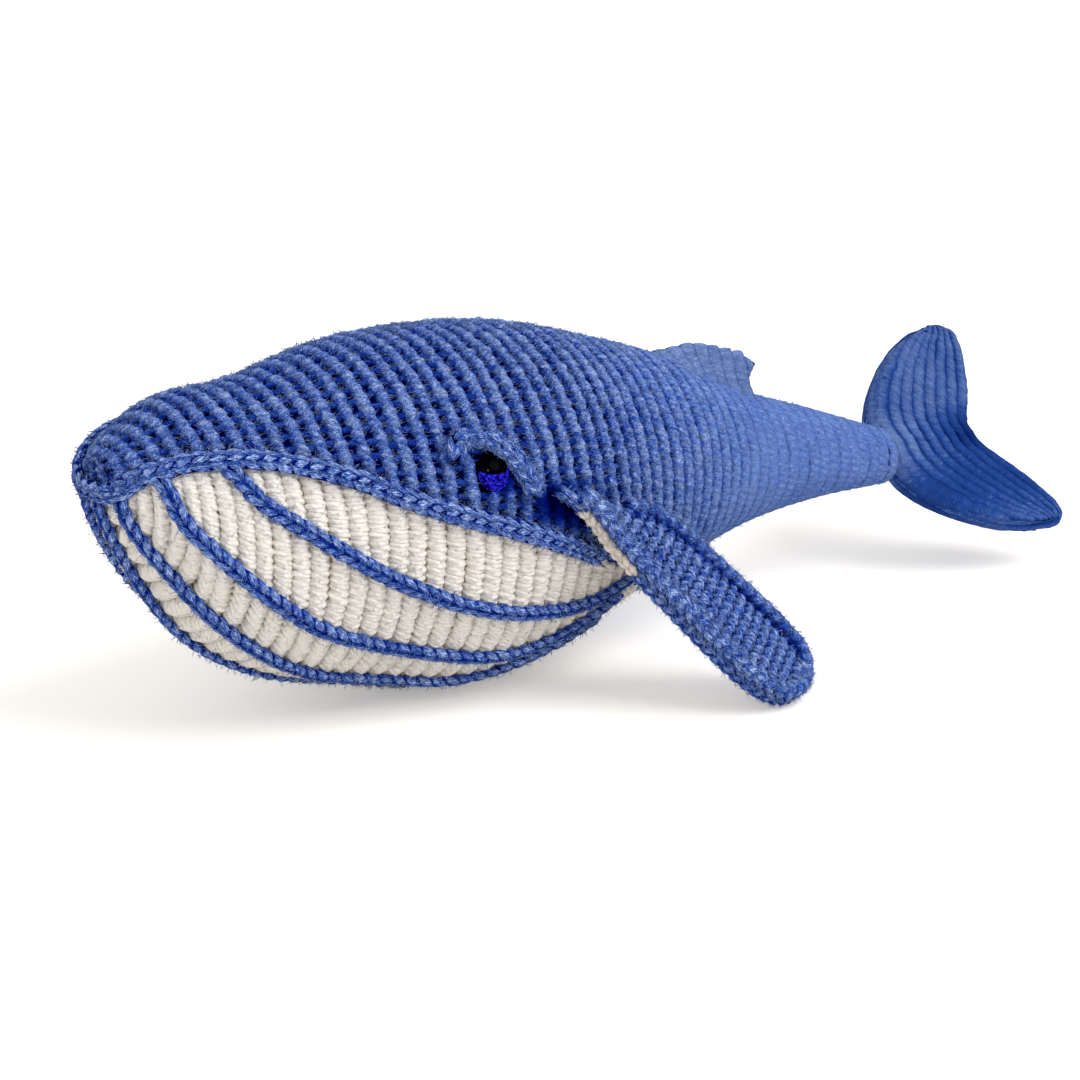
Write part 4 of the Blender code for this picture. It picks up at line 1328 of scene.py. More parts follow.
    def back_stitches(self, stitcher: Stitcher, post: Shape) -> list[Shape]:
        """Work the raised ribs of the back, and the posts and holes between them."""
        shares = BODY.rib_shares(self.rib_angle, 0.0, 1.0, self.back_ribs)
        parts = []
        for i, share in enumerate(shares):
            soft = float(self.softness(share))
            nose = max(1 - share / 0.05, 0.0)
            following = shares[i + 1] if i + 1 < len(shares) else min(2 * share - shares[i - 1], 1.0)
            before = shares[i - 1] if i else BODY.pole_share
            first, last = self.angle_limits(np.array([share]), True)
            lap = self.lap if last[0] > math.pi - 1e-6 else 0.0
            fine = np.linspace(first[0] - lap, last[0] + lap, 320)
            line, turned = self.rib_line(stitcher, share, fine)
            place, normal, _, _ = BODY.frames(line, turned)
            gap = self.gap_at(before, following, fine)
            kept, rise = self.bulge(place)
            half_width = gap * ((0.35 + 0.22 * soft + 0.10 * nose) if i else 0.24)
            half_height = np.minimum(gap * 0.38, 0.0024) * (1 - 0.68 * soft)
            origins = place + normal * (rise + self.crown_rise - half_height)[:, None]
            # The crowns are a little darker towards the nose, as painted shade on the head, and a little
            # darker on the tail stock
            tone = 0.82 + 0.03 * min(share / 0.4, 1.0) - 0.06 * soft
            for run in runs(kept):
                if run.stop - run.start > 6:
                    parts.append(self.rope.lay(stitcher, origins[run], normal[run], half_width[run],
                                               half_height[run], self.back_stitch, tone,
                                               self.ridge_hairs * (1 - 0.85 * soft), soft))
            if i + 1 == len(shares):
                continue
            angles, pitch = self.row_of((share + following) / 2, True, self.back_stitch)
            gap = self.gap_at(before, following, angles)
            middle = np.full(angles.shape, (share + following) / 2)
            shifted = angles + (angles[1] - angles[0]) * (0.2 if i % 2 else -0.2)
            place, normal, around, back = BODY.frames(middle, shifted)
            kept, rise = self.bulge(place)
            origins = place + normal * (rise - self.post_sink + 0.0004 * max(soft, nose))[:, None]
            sizes = np.stack((gap * 0.52, np.full(len(gap), pitch * (0.27 + 0.17 * soft)),
                              np.full(len(gap), self.post_half_height)), axis=1)
            # The posts lie between the ribs in a lower tone, as painted shade, lighter on the tail stock and
            # at the nose
            parts.append(stitcher.lay(post, origins[kept], (back + around * 0.15)[kept], normal[kept],
                                      sizes[kept], 0.56 + 0.22 * soft + 0.14 * nose, 1))
        return parts + self.tail_end(stitcher)

    def tail_end(self, stitcher: Stitcher) -> list[Shape]:
        """Draw the cover together over the end of the tail stock in rounds of stitches."""
        turns = np.linspace(-math.pi - self.lap, math.pi + self.lap, 160)
        rim = BODY.surface(np.ones(160), turns)
        middle = BODY.surface(np.ones(64), np.arange(64) * TURN / 64).mean(axis=0)
        parts = []
        for scale, back, lean in self.end_rounds:
            line = middle + (rim - middle) * scale + (0.0, back, 0.0)
            ups = unit((rim - middle) * lean + (0.0, 0.01, 0.0))
            parts.append(self.rope.lay(stitcher, line, ups, *self.end_half_sizes, self.back_stitch, 0.78,
                                       0.5, 1.0))
        return parts

    def gap_at(self, before: float, following: float, angles: np.ndarray) -> np.ndarray:
        """Return half the way from the rib before to the one behind, at angles from the top."""
        near = BODY.surface(np.full(angles.shape, before), angles)
        far = BODY.surface(np.full(angles.shape, following), angles)
        return np.clip(np.linalg.norm(far - near, axis=1) / 2, *self.gap_limits)

    def belly_stitches(self, stitcher: Stitcher, thread: Shape) -> list[Shape]:
        """Work the plump ribs of the belly, each a row of threads across it with every other one long."""
        front, rear = BODY.seam_ends()
        shares = BODY.rib_shares(self.belly_rib_angle, front, rear, self.belly_ribs)
        parts = []
        for i, share in enumerate(shares):
            angles, pitch = self.row_of(share, False, self.belly_stitch)
            if len(angles) < 2:
                continue
            following = shares[min(i + 1, len(shares) - 1)]
            before = shares[max(i - 1, 0)]
            steps = min(i + 1, len(shares) - 1) - max(i - 1, 0)
            angles = angles + (angles[1] - angles[0]) * (0.25 if i % 2 else -0.25)
            line, turned = self.rib_line(stitcher, share, angles)
            place, normal, around, back = BODY.frames(line, turned)
            gap = np.linalg.norm(BODY.surface(np.full(turned.shape, following), turned)
                                 - BODY.surface(np.full(turned.shape, before), turned), axis=1) / steps
            gap = np.clip(gap, *self.belly_gap_limits)
            half_height = np.minimum(gap * 0.30, 0.0019)
            edge = np.where(np.arange(len(gap)) % 2, 0.06, -0.02)
            origins = (place + normal * (self.crown_rise - half_height)[:, None]
                       + back * (gap * (edge + stitcher.rng.normal(0.0, 0.02, len(gap))))[:, None])
            sizes = np.stack((gap * 0.60, np.full(len(gap), pitch * 0.95), half_height), axis=1)
            parts.append(stitcher.lay(thread, origins, back + around * 0.16, normal, sizes, 0.88,
                                      self.belly_hairs))
        return parts

    def filling(self) -> Shape:
        """Build the lumpy fibre that fills the cover."""
        shares = np.linspace(0.0, 1.0, 60)[1:] ** 2 * 0.985
        angles = np.linspace(0, TURN, self.filling_columns + 1)
        share_grid, angle_grid = np.meshgrid(shares, angles, indexing="ij")
        tufts = np.sin(share_grid * 61 + 3 * np.sin(angle_grid * 3))
        lumps = (tufts * np.sin(angle_grid * 5 + share_grid * 23)
                 + np.sin(share_grid * 37 - angle_grid * 2))
        sheet = BODY.at(share_grid, angle_grid, -self.filling_inset - self.filling_lump * lumps)
        pole = BODY.surface(np.zeros(1), np.zeros(1)) + np.array((0.0, self.filling_inset, 0.0))
        ends = [np.tile(end, (1, len(angles), 1)) for end in (pole, sheet[-1].mean(axis=0))]
        sheet = np.concatenate((ends[0], sheet, ends[1]))
        sheet[:, -1] = sheet[:, 0]
        return Shape.of_grid(sheet, False, 1.0).welded().turned_out()

    def build(self, kit: "YarnKit") -> None:
        """Build the covers and what fills them."""
        wall = self.shell(True, 0.0)
        share = (wall.points[:, 1] + BODY.nose_reach) / BODY.length
        # The back wall's dark tone is painted shade in the holes, lighter on the tail stock and at the nose
        wall.tones = 0.1 + 0.6 * self.softness(share) + 0.4 * np.clip(1 - share / 0.06, 0.0, 1.0)
        back = joined([wall, *self.back_stitches(kit.stitcher, kit.post)])
        for sign in (1, -1):
            angle = sign * math.pi * EYE_PLACE_SHARES[1]
            eye = BODY.at(np.array([EYE_PLACE_SHARES[0] + 0.010]), np.array([angle]), 0.0)
            deepen(back, eye, *self.eye_shade)
            root = curve_through(ROOT_SHARES, 24) * np.array((1.0, sign * math.pi))
            fold = BODY.at(root[:14, 0] - 0.006, root[:14, 1] + sign * 0.05, 0.0)
            deepen(back, fold, *self.root_shade)
        cover = back.to_object("back_cover", kit.brushed)
        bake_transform(cover)
        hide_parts("back_panel")
        LOG.info("back_cover: %d faces", len(cover.data.polygons))
        belly = joined([self.shell(False, 0.12), *self.belly_stitches(kit.stitcher, kit.thread)])
        dress("belly_cover", belly, kit.cream, "whale_body", ["belly_panel"])
        dress("fibre_filling", self.filling(), kit.fill, "whale_body", ["body_stuffing"])


@dataclass
class YarnKit:
    """The strands, the materials and the hand that lays them."""

    stitcher: Stitcher = field(default_factory=lambda: Stitcher(np.random.default_rng(SEED), Hair().model()))
    post: Shape = field(default_factory=lambda: Strand(sides=6, rings=4, droop=0.0).model())
    thread: Shape = field(default_factory=lambda: Strand(sides=6, rings=6, droop=1.15).model())
    chain_leg: Shape = field(default_factory=lambda: Strand(sides=8, rings=6, droop=0.6, taper=0.16).model())
    brushed: bpy.types.Material = field(default_factory=BRUSHED_YARN.build)
    felted: bpy.types.Material = field(default_factory=BRUSHED_YARN_PAINTED_SHADE.build)
    blue: bpy.types.Material = field(default_factory=BLUE_YARN.build)
    cream: bpy.types.Material = field(default_factory=CREAM_YARN.build)
    fill: bpy.types.Material = field(default_factory=FIBRE_FILL.build)
    eye: bpy.types.Material = field(default_factory=lambda: GlitterEye().build())
    nylon: bpy.types.Material = field(default_factory=BLACK_NYLON.build)


@dataclass
class Chains:
    """The braided lines along the mouth and over the throat."""

    braid: Braid = field(default_factory=lambda: Braid(
        width=0.0060, leg_length=0.0078, leg_width=0.0029, leg_height=0.0022, pitch=0.0050, rows=(-42, 42),
        slant=math.radians(19), tone=0.86, core_tone=0.42, hairs=7))
    lip: Braid = field(default_factory=lambda: Braid(
        width=0.0066, height=0.0034, pitch=0.0052, leg_length=0.0104, leg_width=0.0033, leg_height=0.0020,
        rows=(-58, -2, 54), leans=(1, -1, 1), slant=math.radians(13), tone=0.88, core_tone=0.3,
        core_share=0.50, hairs=9))
    tuck: float = 0.003
    clearance: float = 0.0003
    sink: float = 0.0007
    steps: int = 90

    def offset(self) -> float:
        """Return how far the middle of a chain lies outside the cover."""
        return self.clearance + self.braid.height / 2

    def mouth_places(self) -> np.ndarray:
        """Return the places of the mouth chain, from the left corner round the snout to the right."""
        front, _ = BODY.seam_ends()
        shares = front + (MOUTH_END_SHARE - front) * np.linspace(1.0, 0.0, 240) ** 3
        angles = BODY.seam_angle(shares)
        angles[-1] = math.pi
        left = np.stack((shares, angles), axis=1)
        right = np.stack((shares, TURN - angles), axis=1)[::-1]
        return np.concatenate((left, right[1:]))

    def build(self, kit: YarnKit) -> None:
        """Build the mouth chain and the seven throat chains."""
        points, ups = BODY.path(self.mouth_places(), self.offset(), 2 * self.steps)
        shape = self.lip.lay(kit, points, ups)
        dress("mouth_braid", shape, kit.blue, "whale_body", ["mouth_chain"])
        shape = self.throat(kit, CENTRE_CHAIN_SHARES)
        dress("throat_braid_centre", shape, kit.blue, "whale_body", ["throat_chain_centre"])
        for number, row in enumerate(SIDE_CHAIN_SHARES, start=1):
            left = self.throat(kit, row)
            for side, made in ((Side.LEFT, left), (Side.RIGHT, left.mirrored())):
                dress(f"throat_braid_{side.value}_{number}", made, kit.blue, "whale_body",
                      [f"throat_chain_{side.value}_{number}"])

    def throat(self, kit: YarnKit, row: Sequence[Sequence[float]]) -> Shape:
        """Braid one throat chain through its row of places."""
        places = curve_through(row, 200) * np.array((1.0, math.pi))
        points, ups = BODY.path(places, self.offset() - self.sink, self.steps)
        ahead = points[0] - unit(points[1] - points[0]) * self.tuck
        points, ups = np.concatenate(([ahead], points)), np.concatenate((ups[:1], ups))
        return self.braid.lay(kit, points, ups)


@dataclass
class Eye:
    """A safety eye on its stem, sunk under a braided lid."""

    diameter: float = 0.012
    height: float = 0.0045
    rim: float = 0.0008
    stem_diameter: float = 0.004
    stem_length: float = 0.011
    clearance: float = 0.0003
    sides: int = 48
    pupil_rise: float = 0.75
    pupil_width: float = 1.33
    dark_rim: float = 0.93
    lid_shift: float = 0.0024
    lid: Braid = field(default_factory=lambda: Braid(
        width=0.0070, height=0.0060, leg_width=0.0031, leg_height=0.0024, rows=(-104, -56, -4, 48, 96),
        leans=(1, -1, 1, -1, 1), pitch=0.0050, slant=math.radians(15), leg_length=0.0090, tone=0.84,
        hairs=10, core_tone=0.0))

    def model(self) -> Shape:
        """Model the dome, its rim and its stem, looking along +Z."""
        item = start_editing(bpy.ops.mesh.primitive_uv_sphere_add, segments=self.sides,
                             ring_count=self.sides // 2)
        bpy.ops.mesh.bisect(plane_co=(0.0, 0.0, 0.0), plane_no=(0.0, 0.0, 1.0), clear_inner=True)
        bpy.ops.mesh.select_all(action="SELECT")
        radius = self.diameter / 2
        dome = self.height - self.rim
        bpy.ops.transform.resize(value=(radius, radius, dome), center_override=(0.0, 0.0, 0.0))
        bpy.ops.transform.translate(value=(0.0, 0.0, self.clearance + self.rim))
        steps = ((1.0, self.rim), (self.stem_diameter / self.diameter, 0.0), (1.0, self.stem_length))
        for scale, drop in steps:
            lowest = min(vertex.co.z for vertex in bmesh.from_edit_mesh(item.data).verts)
            select_points(item, lambda place, low=lowest: place.z < low + WELD_REACH)
            bpy.ops.mesh.extrude_region()
            bpy.ops.transform.translate(value=(0.0, 0.0, -drop))
            bpy.ops.transform.resize(value=(scale, scale, 1.0))
            if drop == 0.0:
                kept = (self.stem_diameter / 2 + self.diameter / 2) / 2
                select_points(item, lambda place, low=lowest, most=kept: (
                    place.z < low + WELD_REACH and math.hypot(place.x, place.y) < most))
                bpy.ops.transform.translate(value=(0.0, 0.0, -2 * WELD_REACH))
        lowest = min(vertex.co.z for vertex in bmesh.from_edit_mesh(item.data).verts)
        select_points(item, lambda place, low=lowest: place.z < low + WELD_REACH)
        bpy.ops.mesh.edge_face_add()
        bpy.ops.mesh.select_all(action="SELECT")
        bpy.ops.mesh.quads_convert_to_tris()
        bpy.ops.mesh.normals_make_consistent(inside=False)
        shape = finish_editing(item)
        # The tone marks the black pupil, raised and widened so that it also stands for painted shadow from
        # the lid over the upper half, and a painted shadow round the rim
        across, upward = shape.points[:, 0], shape.points[:, 1]
        away = np.hypot(across / self.pupil_width, upward - self.pupil_rise * radius) / radius
        rim = np.hypot(across, upward) > self.dark_rim * radius
        shape.tones = np.where(rim, 0.0, away)
        return shape.turned_out()

    def build(self, kit: YarnKit) -> None:
        """Build both eyes and lids, and finish the washers behind them."""
        share, half_turns = EYE_PLACE_SHARES
        place, normal, _, _ = BODY.frames(np.array([share]), np.array([half_turns * math.pi]))
        turn = Vector(normal[0]).to_track_quat("Z", "Y").to_matrix().to_4x4()
        left = self.model().moved(Matrix.Translation(place[0]) @ turn)
        places = curve_through(EYELID_SHARES, 60) * np.array((1.0, math.pi))
        points, ups = BODY.path(places, self.lid.height / 2 - self.clearance, 24)
        closer = np.clip(2.4 * (1 - np.linspace(0.0, 1.0, len(points)))[:, None], 0.0, 1.0)
        points = points + unit(place[0] - points) * closer * self.lid_shift
        lid = self.lid.lay(kit, points, ups)
        for side in Side:
            mirror = side is Side.RIGHT
            dress(f"{side.value}_eye_dome", left.mirrored() if mirror else left, kit.eye, "whale_body",
                  [f"{side.value}_eye"])
            dress(f"{side.value}_eyelid_braid", lid.mirrored() if mirror else lid, kit.blue, "whale_body",
                  [f"{side.value}_eyelid"])
            washer = frame["nodes"][f"{side.value}_eye_washer"]
            washer.data.materials.clear()
            washer.data.materials.append(kit.nylon)


def inside(points: np.ndarray, outline: np.ndarray) -> np.ndarray:
    """Tell which flat points lie inside a closed outline.

    Args:
        points: Points of two coordinates.
        outline: The outline's corners.

    Returns:
        True for each point inside.
    """
    ends = np.roll(outline, -1, axis=0)
    x, y = points[:, :1], points[:, 1:2]
    crosses = (outline[:, 1] > y) != (ends[:, 1] > y)
    rise = np.where(np.abs(ends[:, 1] - outline[:, 1]) < 1e-12, 1e-12, ends[:, 1] - outline[:, 1])
    at = outline[:, 0] + (y - outline[:, 1]) * (ends[:, 0] - outline[:, 0]) / rise
    return (crosses & (x < at)).sum(axis=1) % 2 == 1


def flat_slab(outline: np.ndarray, low: float, high: float, tone: float) -> Shape:
    """Fill a flat outline between two heights.

    Args:
        outline: The outline's corners.
        low: The height of the lower face.
        high: The height of the upper face.
        tone: The tone of its points.

    Returns:
        The closed slab.
    """
    curve = bpy.data.curves.new("outline", "CURVE")
    curve.dimensions = "2D"
    curve.fill_mode = "BOTH"
    curve.extrude = (high - low) / 2
    spline = curve.splines.new("POLY")
    spline.points.add(len(outline) - 1)
    for point, (x, y) in zip(spline.points, outline):
        point.co = (x, y, 0.0, 1.0)
    spline.use_cyclic_u = True
    guide = bpy.data.objects.new("outline", curve)
    bpy.context.scene.collection.objects.link(guide)
    mesh = bpy.data.meshes.new_from_object(guide.evaluated_get(bpy.context.evaluated_depsgraph_get()))
    shape = Shape.of_mesh(mesh, tone)
    shape.points = shape.points + np.array((0.0, 0.0, (low + high) / 2))
    bpy.data.objects.remove(guide, do_unlink=True)
    bpy.data.curves.remove(curve)
    bpy.data.meshes.remove(mesh)
    return shape.welded().turned_out()


@dataclass
class Flipper:
    """Two flat crochet layers with a braided edge, on the seam at the whale's side."""

    length: float = 0.090
    reach: float = 0.070
    layer: float = 0.0026
    edging: float = 0.0054
    gap: float = 0.0003
    sag: float = 0.0006
    rest_angle: float = math.radians(35.4)
    row_pitch: float = 0.0044
    stitch: float = 0.0042
    row_angle: float = math.radians(43)
    crown: float = 0.0014
    bare: int = 3
    tip_point: int = 44
    strip: int = 11
    leg_half_height: float = 0.0014
    root_shift: float = 0.0014
    root_half_sizes: tuple[float, float] = (0.0024, 0.0018)
    groove_shade: tuple[float, float] = (0.0024, 0.6)
    braid: Braid = field(default_factory=lambda: Braid(
        width=0.0060, height=0.0058, rows=(-95, -48, -6, 40, 88), leans=(1, -1, 1, -1, 1),
        pitch=0.0046, leg_length=0.0080, leg_width=0.0029, leg_height=0.0023, slant=math.radians(24),
        core_share=0.36, hairs=9))
    wrap: Braid = field(default_factory=lambda: Braid(
        width=0.0046, height=0.0026, rows=(-60, 0, 60), leans=(1, -1, 1), pitch=0.0046, leg_length=0.0074,
        leg_width=0.0024, leg_height=0.0020, slant=math.radians(20), hairs=6))
    # The rim, the lining's strip along the leading edge, takes a low tone as painted shade
    rim: Braid = field(default_factory=lambda: Braid(
        width=0.0042, height=0.0028, rows=(-45, 45), pitch=0.0036, leg_length=0.0048, leg_width=0.0026,
        leg_height=0.0020, slant=math.radians(24), tone=0.58, core_tone=0.3, hairs=3))

    def hinge(self) -> Matrix:
        """Return the frame of the left root: out along the blade, back along the seam, up from its face."""
        shares = np.array([row[0] for row in ROOT_SHARES])
        angles = np.array([row[1] for row in ROOT_SHARES]) * math.pi
        clear = self.layer + 2 * self.gap + self.sag
        ends = BODY.at(shares, angles, clear)
        _, normals, _, _ = BODY.frames(shares, angles)
        seam = Vector(unit(ends[1] - ends[0]))
        away = Vector(normals.sum(axis=0))
        away = (away - seam * away.dot(seam)).normalized()
        down = seam.cross(away)
        if down.z > 0:
            down.negate()
        blade = down * math.cos(self.rest_angle) + away * math.sin(self.rest_angle)
        turn = Matrix((blade, seam, blade.cross(seam))).transposed().to_4x4()
        return Matrix.Translation(Vector(ends.mean(axis=0))) @ turn

    def outline(self, inset: float) -> np.ndarray:
        """Return the open outline in the hinge frame, pulled in by an inset."""
        path = curve_through(FLIPPER_OUTLINE_SHARES, 4 * (len(FLIPPER_OUTLINE_SHARES) - 1))
        path = np.stack((path[:, 1] * self.reach, path[:, 0] * self.length), axis=1)
        along = unit(np.gradient(path, axis=0))
        moved = path + np.stack((-along[:, 1], along[:, 0]), axis=1) * inset
        moved[:, 0] = np.maximum(moved[:, 0], 0.0)
        return moved

    def rows(self, outline: np.ndarray, kit: YarnKit, height: float, level: int,
             tone: float) -> list[Shape]:
        """Work rows of stitches over one face.

        Args:
            outline: What the rows stay inside.
            kit: What holds the leg of a stitch and what copies it.
            height: The height of the rows above the middle.
            level: 1 for the upper face, -1 for the lower.
            tone: The tone of the stitches.

        Returns:
            The stitches.
        """
        forward = np.array((math.cos(self.row_angle), math.sin(self.row_angle)))
        across = np.array((-forward[1], forward[0]))
        offsets = outline @ across
        reaches = outline @ forward
        parts = []
        middle = (offsets.max() + offsets.min()) / 2
        width = (offsets.max() - offsets.min()) / 2
        for offset in np.arange(offsets.min() + self.row_pitch * 0.3, offsets.max(), self.row_pitch):
            reach = np.arange(reaches.min(), reaches.max(), self.stitch)
            flat = forward * reach[:, None] + across * offset
            flat = flat[inside(flat, outline)]
            if not len(flat):
                continue
            rise = self.crown * (1 - min(abs(offset - middle) / width, 1.0) ** 2)
            place = np.column_stack((flat, np.full(len(flat), level * (height + rise))))
            for lean, shift in ((0.50, -0.24), (-0.50, 0.24)):
                origins = place.copy()
                origins[:, :2] += across * (shift * self.row_pitch)
                heading = np.tile(np.append(forward + across * lean, 0.0), (len(flat), 1))
                up = np.tile((0.0, 0.0, float(level)), (len(flat), 1))
                sizes = np.tile((self.stitch * 0.72, self.row_pitch * 0.26, self.leg_half_height),
                                (len(flat), 1))
                parts.append(kit.stitcher.lay(kit.chain_leg, origins, heading, up, sizes, tone, 3))
        return parts

    def build(self, kit: YarnKit) -> None:
        """Build both flippers."""
        hinge = self.hinge()
        inner = self.outline(self.edging * 0.8)
        # The slab under the top rows takes tone 0 and the lining's slab 0.6, as painted shade beneath the
        # stitches; the root rope at 0.7 is painted shade at the fold against the body
        top = joined([flat_slab(inner, self.gap / 2, self.layer * 0.7, 0.0),
                      *self.rows(self.outline(self.edging), kit, self.layer * 0.9, 1, 0.84)])
        root = np.linspace(inner[0] * 0.9 + inner[-1] * 0.1, inner[-1], 20)
        root = np.column_stack((root[:, 0] + self.root_shift, root[:, 1], np.full(20, self.layer * 0.6)))
        top = joined((top, Rope().lay(kit.stitcher, root, np.tile((0.0, 0.0, 1.0), (20, 1)),
                                      *self.root_half_sizes, self.stitch, 0.7, 3.0)))
        path = self.outline(self.edging / 2)
        path = path[path[:, 0] > 0.1 * self.edging]
        points = np.column_stack((path, np.full(len(path), (self.edging + self.gap) / 2)))
        over = self.braid.lay(kit, points, np.tile((0.0, 0.0, 1.0), (len(path), 1)))
        outer = self.outline(self.rim.height / 2)
        along = unit(np.gradient(outer, axis=0))
        outwards = np.column_stack((along[:, 1], -along[:, 0], np.zeros(len(along))))
        line = np.column_stack((outer, np.full(len(outer), -self.layer / 2)))
        under = self.wrap.lay(kit, line[self.strip:], outwards[self.strip:])
        front = self.wrap.lay(kit, line[:self.bare + 1] * (1.0, 1.0, 0.3), outwards[:self.bare + 1])
        edge = joined((over, under, front))
        groove = self.outline(self.edging * 1.05)[self.tip_point:]
        groove = np.column_stack((groove, np.full(len(groove), self.layer)))
        for shape in (top, edge):
            deepen(shape, groove, *self.groove_shade)
        lining = joined([flat_slab(outer, -self.layer * 0.75, -self.gap / 2, 0.6),
                         self.rim.lay(kit, line[self.bare:self.strip + 1],
                                      outwards[self.bare:self.strip + 1]),
                         *self.rows(self.outline(self.rim.width * 1.3), kit,
                                    self.layer * 0.7 - self.crown * 0.4, -1, 0.85)])
        made = {"top": (top, kit.blue, "blue_yarn", 0.2), "edging": (edge, kit.blue, "blue_yarn", None),
                "lining": (lining, kit.cream, "cream_yarn", 0.2)}
        for side in Side:
            for name, (shape, material, slot, fill) in made.items():
                placed = shape.moved(hinge)
                if side is Side.RIGHT:
                    placed = placed.mirrored()
                flipper = f"{side.value}_flipper"
                dress(f"{flipper}_{name}_crochet", placed, material, flipper,
                      [f"{flipper}_{name}"])


@dataclass
class DorsalFin:
    """The hooked fin, over which the ribs of the back run up."""

    length: float = 0.049
    height: float = 0.0145
    flare: float = 0.0095
    blade: float = 0.0044
    tip: float = 0.0032
    hook_start: float = 0.84
    hook_end: float = 0.93
    stitch: float = 0.0047
    columns: int = 32
    base_inset: float = 0.0012
    sink: float = 0.0011
    rib_half_height: float = 0.0013
    rope: Rope = Rope(swell=0.04)

    def outline(self, along: np.ndarray, across: np.ndarray, over: bool) -> np.ndarray:
        """Return lines over or under the fin.

        Args:
            along: Places along the base, as shares.
            across: Places from the right foot at -1 over the top to the left foot at 1.
            over: Whether the line runs over the fin, or under it.

        Returns:
            A row of points for each place.
        """
        hooked = np.clip((along - self.hook_start) / (self.hook_end - self.hook_start), 0.0, 1.0)[:, None]
        upper = smooth_curve(DORSAL_UPPER_SHARES, along) * self.height
        lower = smooth_curve(DORSAL_LOWER_SHARES, along) * self.height
        half_width = self.flare + (self.tip - self.flare) * hooked
        x = half_width * across[None]
        foot = np.exp(-(half_width / self.blade) ** 2)
        blade = (np.exp(-(x / self.blade) ** 2) - foot) / (1 - foot)
        round_tip = np.sqrt(np.clip(1 - across[None] ** 2, 0.0, 1.0))
        middle = hooked * (upper + lower) / 2
        shares = np.clip(DORSAL_START_SHARE + along * self.length / BODY.length, 0.0, 1.0)
        centre, half_height, body_width = BODY.section(shares)
        ground = centre[:, None] + half_height[:, None] * np.sqrt(1 - (x / body_width[:, None]) ** 2)
        if over:
            z = ground + middle + (upper - middle) * ((1 - hooked) * blade + hooked * round_tip)
        else:
            z = ground + middle - (middle - lower) * round_tip
        y = np.broadcast_to((shares * BODY.length - BODY.nose_reach)[:, None], x.shape)
        return np.stack((x, y, z), axis=-1)

    def base(self) -> Shape:
        """Build the closed form under the stitches."""
        along = np.linspace(0.02, 0.985, 40)
        across = np.linspace(-1.0, 1.0, self.columns + 1)
        rings = np.concatenate((self.outline(along, across, True),
                                self.outline(along, across[::-1], False)), axis=1)
        middle = rings.mean(axis=1, keepdims=True)
        reach = np.linalg.norm(rings - middle, axis=-1, keepdims=True)
        rings = middle + (rings - middle) * np.maximum(1 - self.base_inset / np.maximum(reach, 1e-6), 0.3)
        rings[:, -1] = rings[:, 0]
        return capped(rings, 0.70)

    def build(self, kit: YarnKit) -> None:
        """Build the fin."""
        ribs = BODY.rib_shares(Covers.rib_angle, 0.0, 1.0, Covers.back_ribs)
        places = (ribs - DORSAL_START_SHARE) * BODY.length / self.length
        pitch = float(np.diff(ribs)[-1]) * BODY.length
        parts = [self.base()]
        across = np.linspace(-1.0, 1.0, 121)
        tip = np.arange(self.hook_end, 0.99, 0.022)
        for place in [*places[(places > 0.04) & (places < self.hook_end - 0.02)], *tip]:
            line = self.outline(np.array([place]), across, True)[0]
            if place >= self.hook_end:
                line = np.concatenate((line, self.outline(np.array([place]), across[::-1], False)[0][1:]))
            up = unit(np.cross(np.gradient(line, axis=0), np.array((0.0, 1.0, 0.0))))
            width = pitch * (0.20 if place >= self.hook_end else 0.62)
            parts.append(self.rope.lay(kit.stitcher, line - up * self.sink, up, width,
                                       self.rib_half_height, self.stitch, 0.84, 0.3, 0.6))
        dress("dorsal_fin_crochet", joined(parts), kit.felted, "whale_body", ["dorsal_fin"])


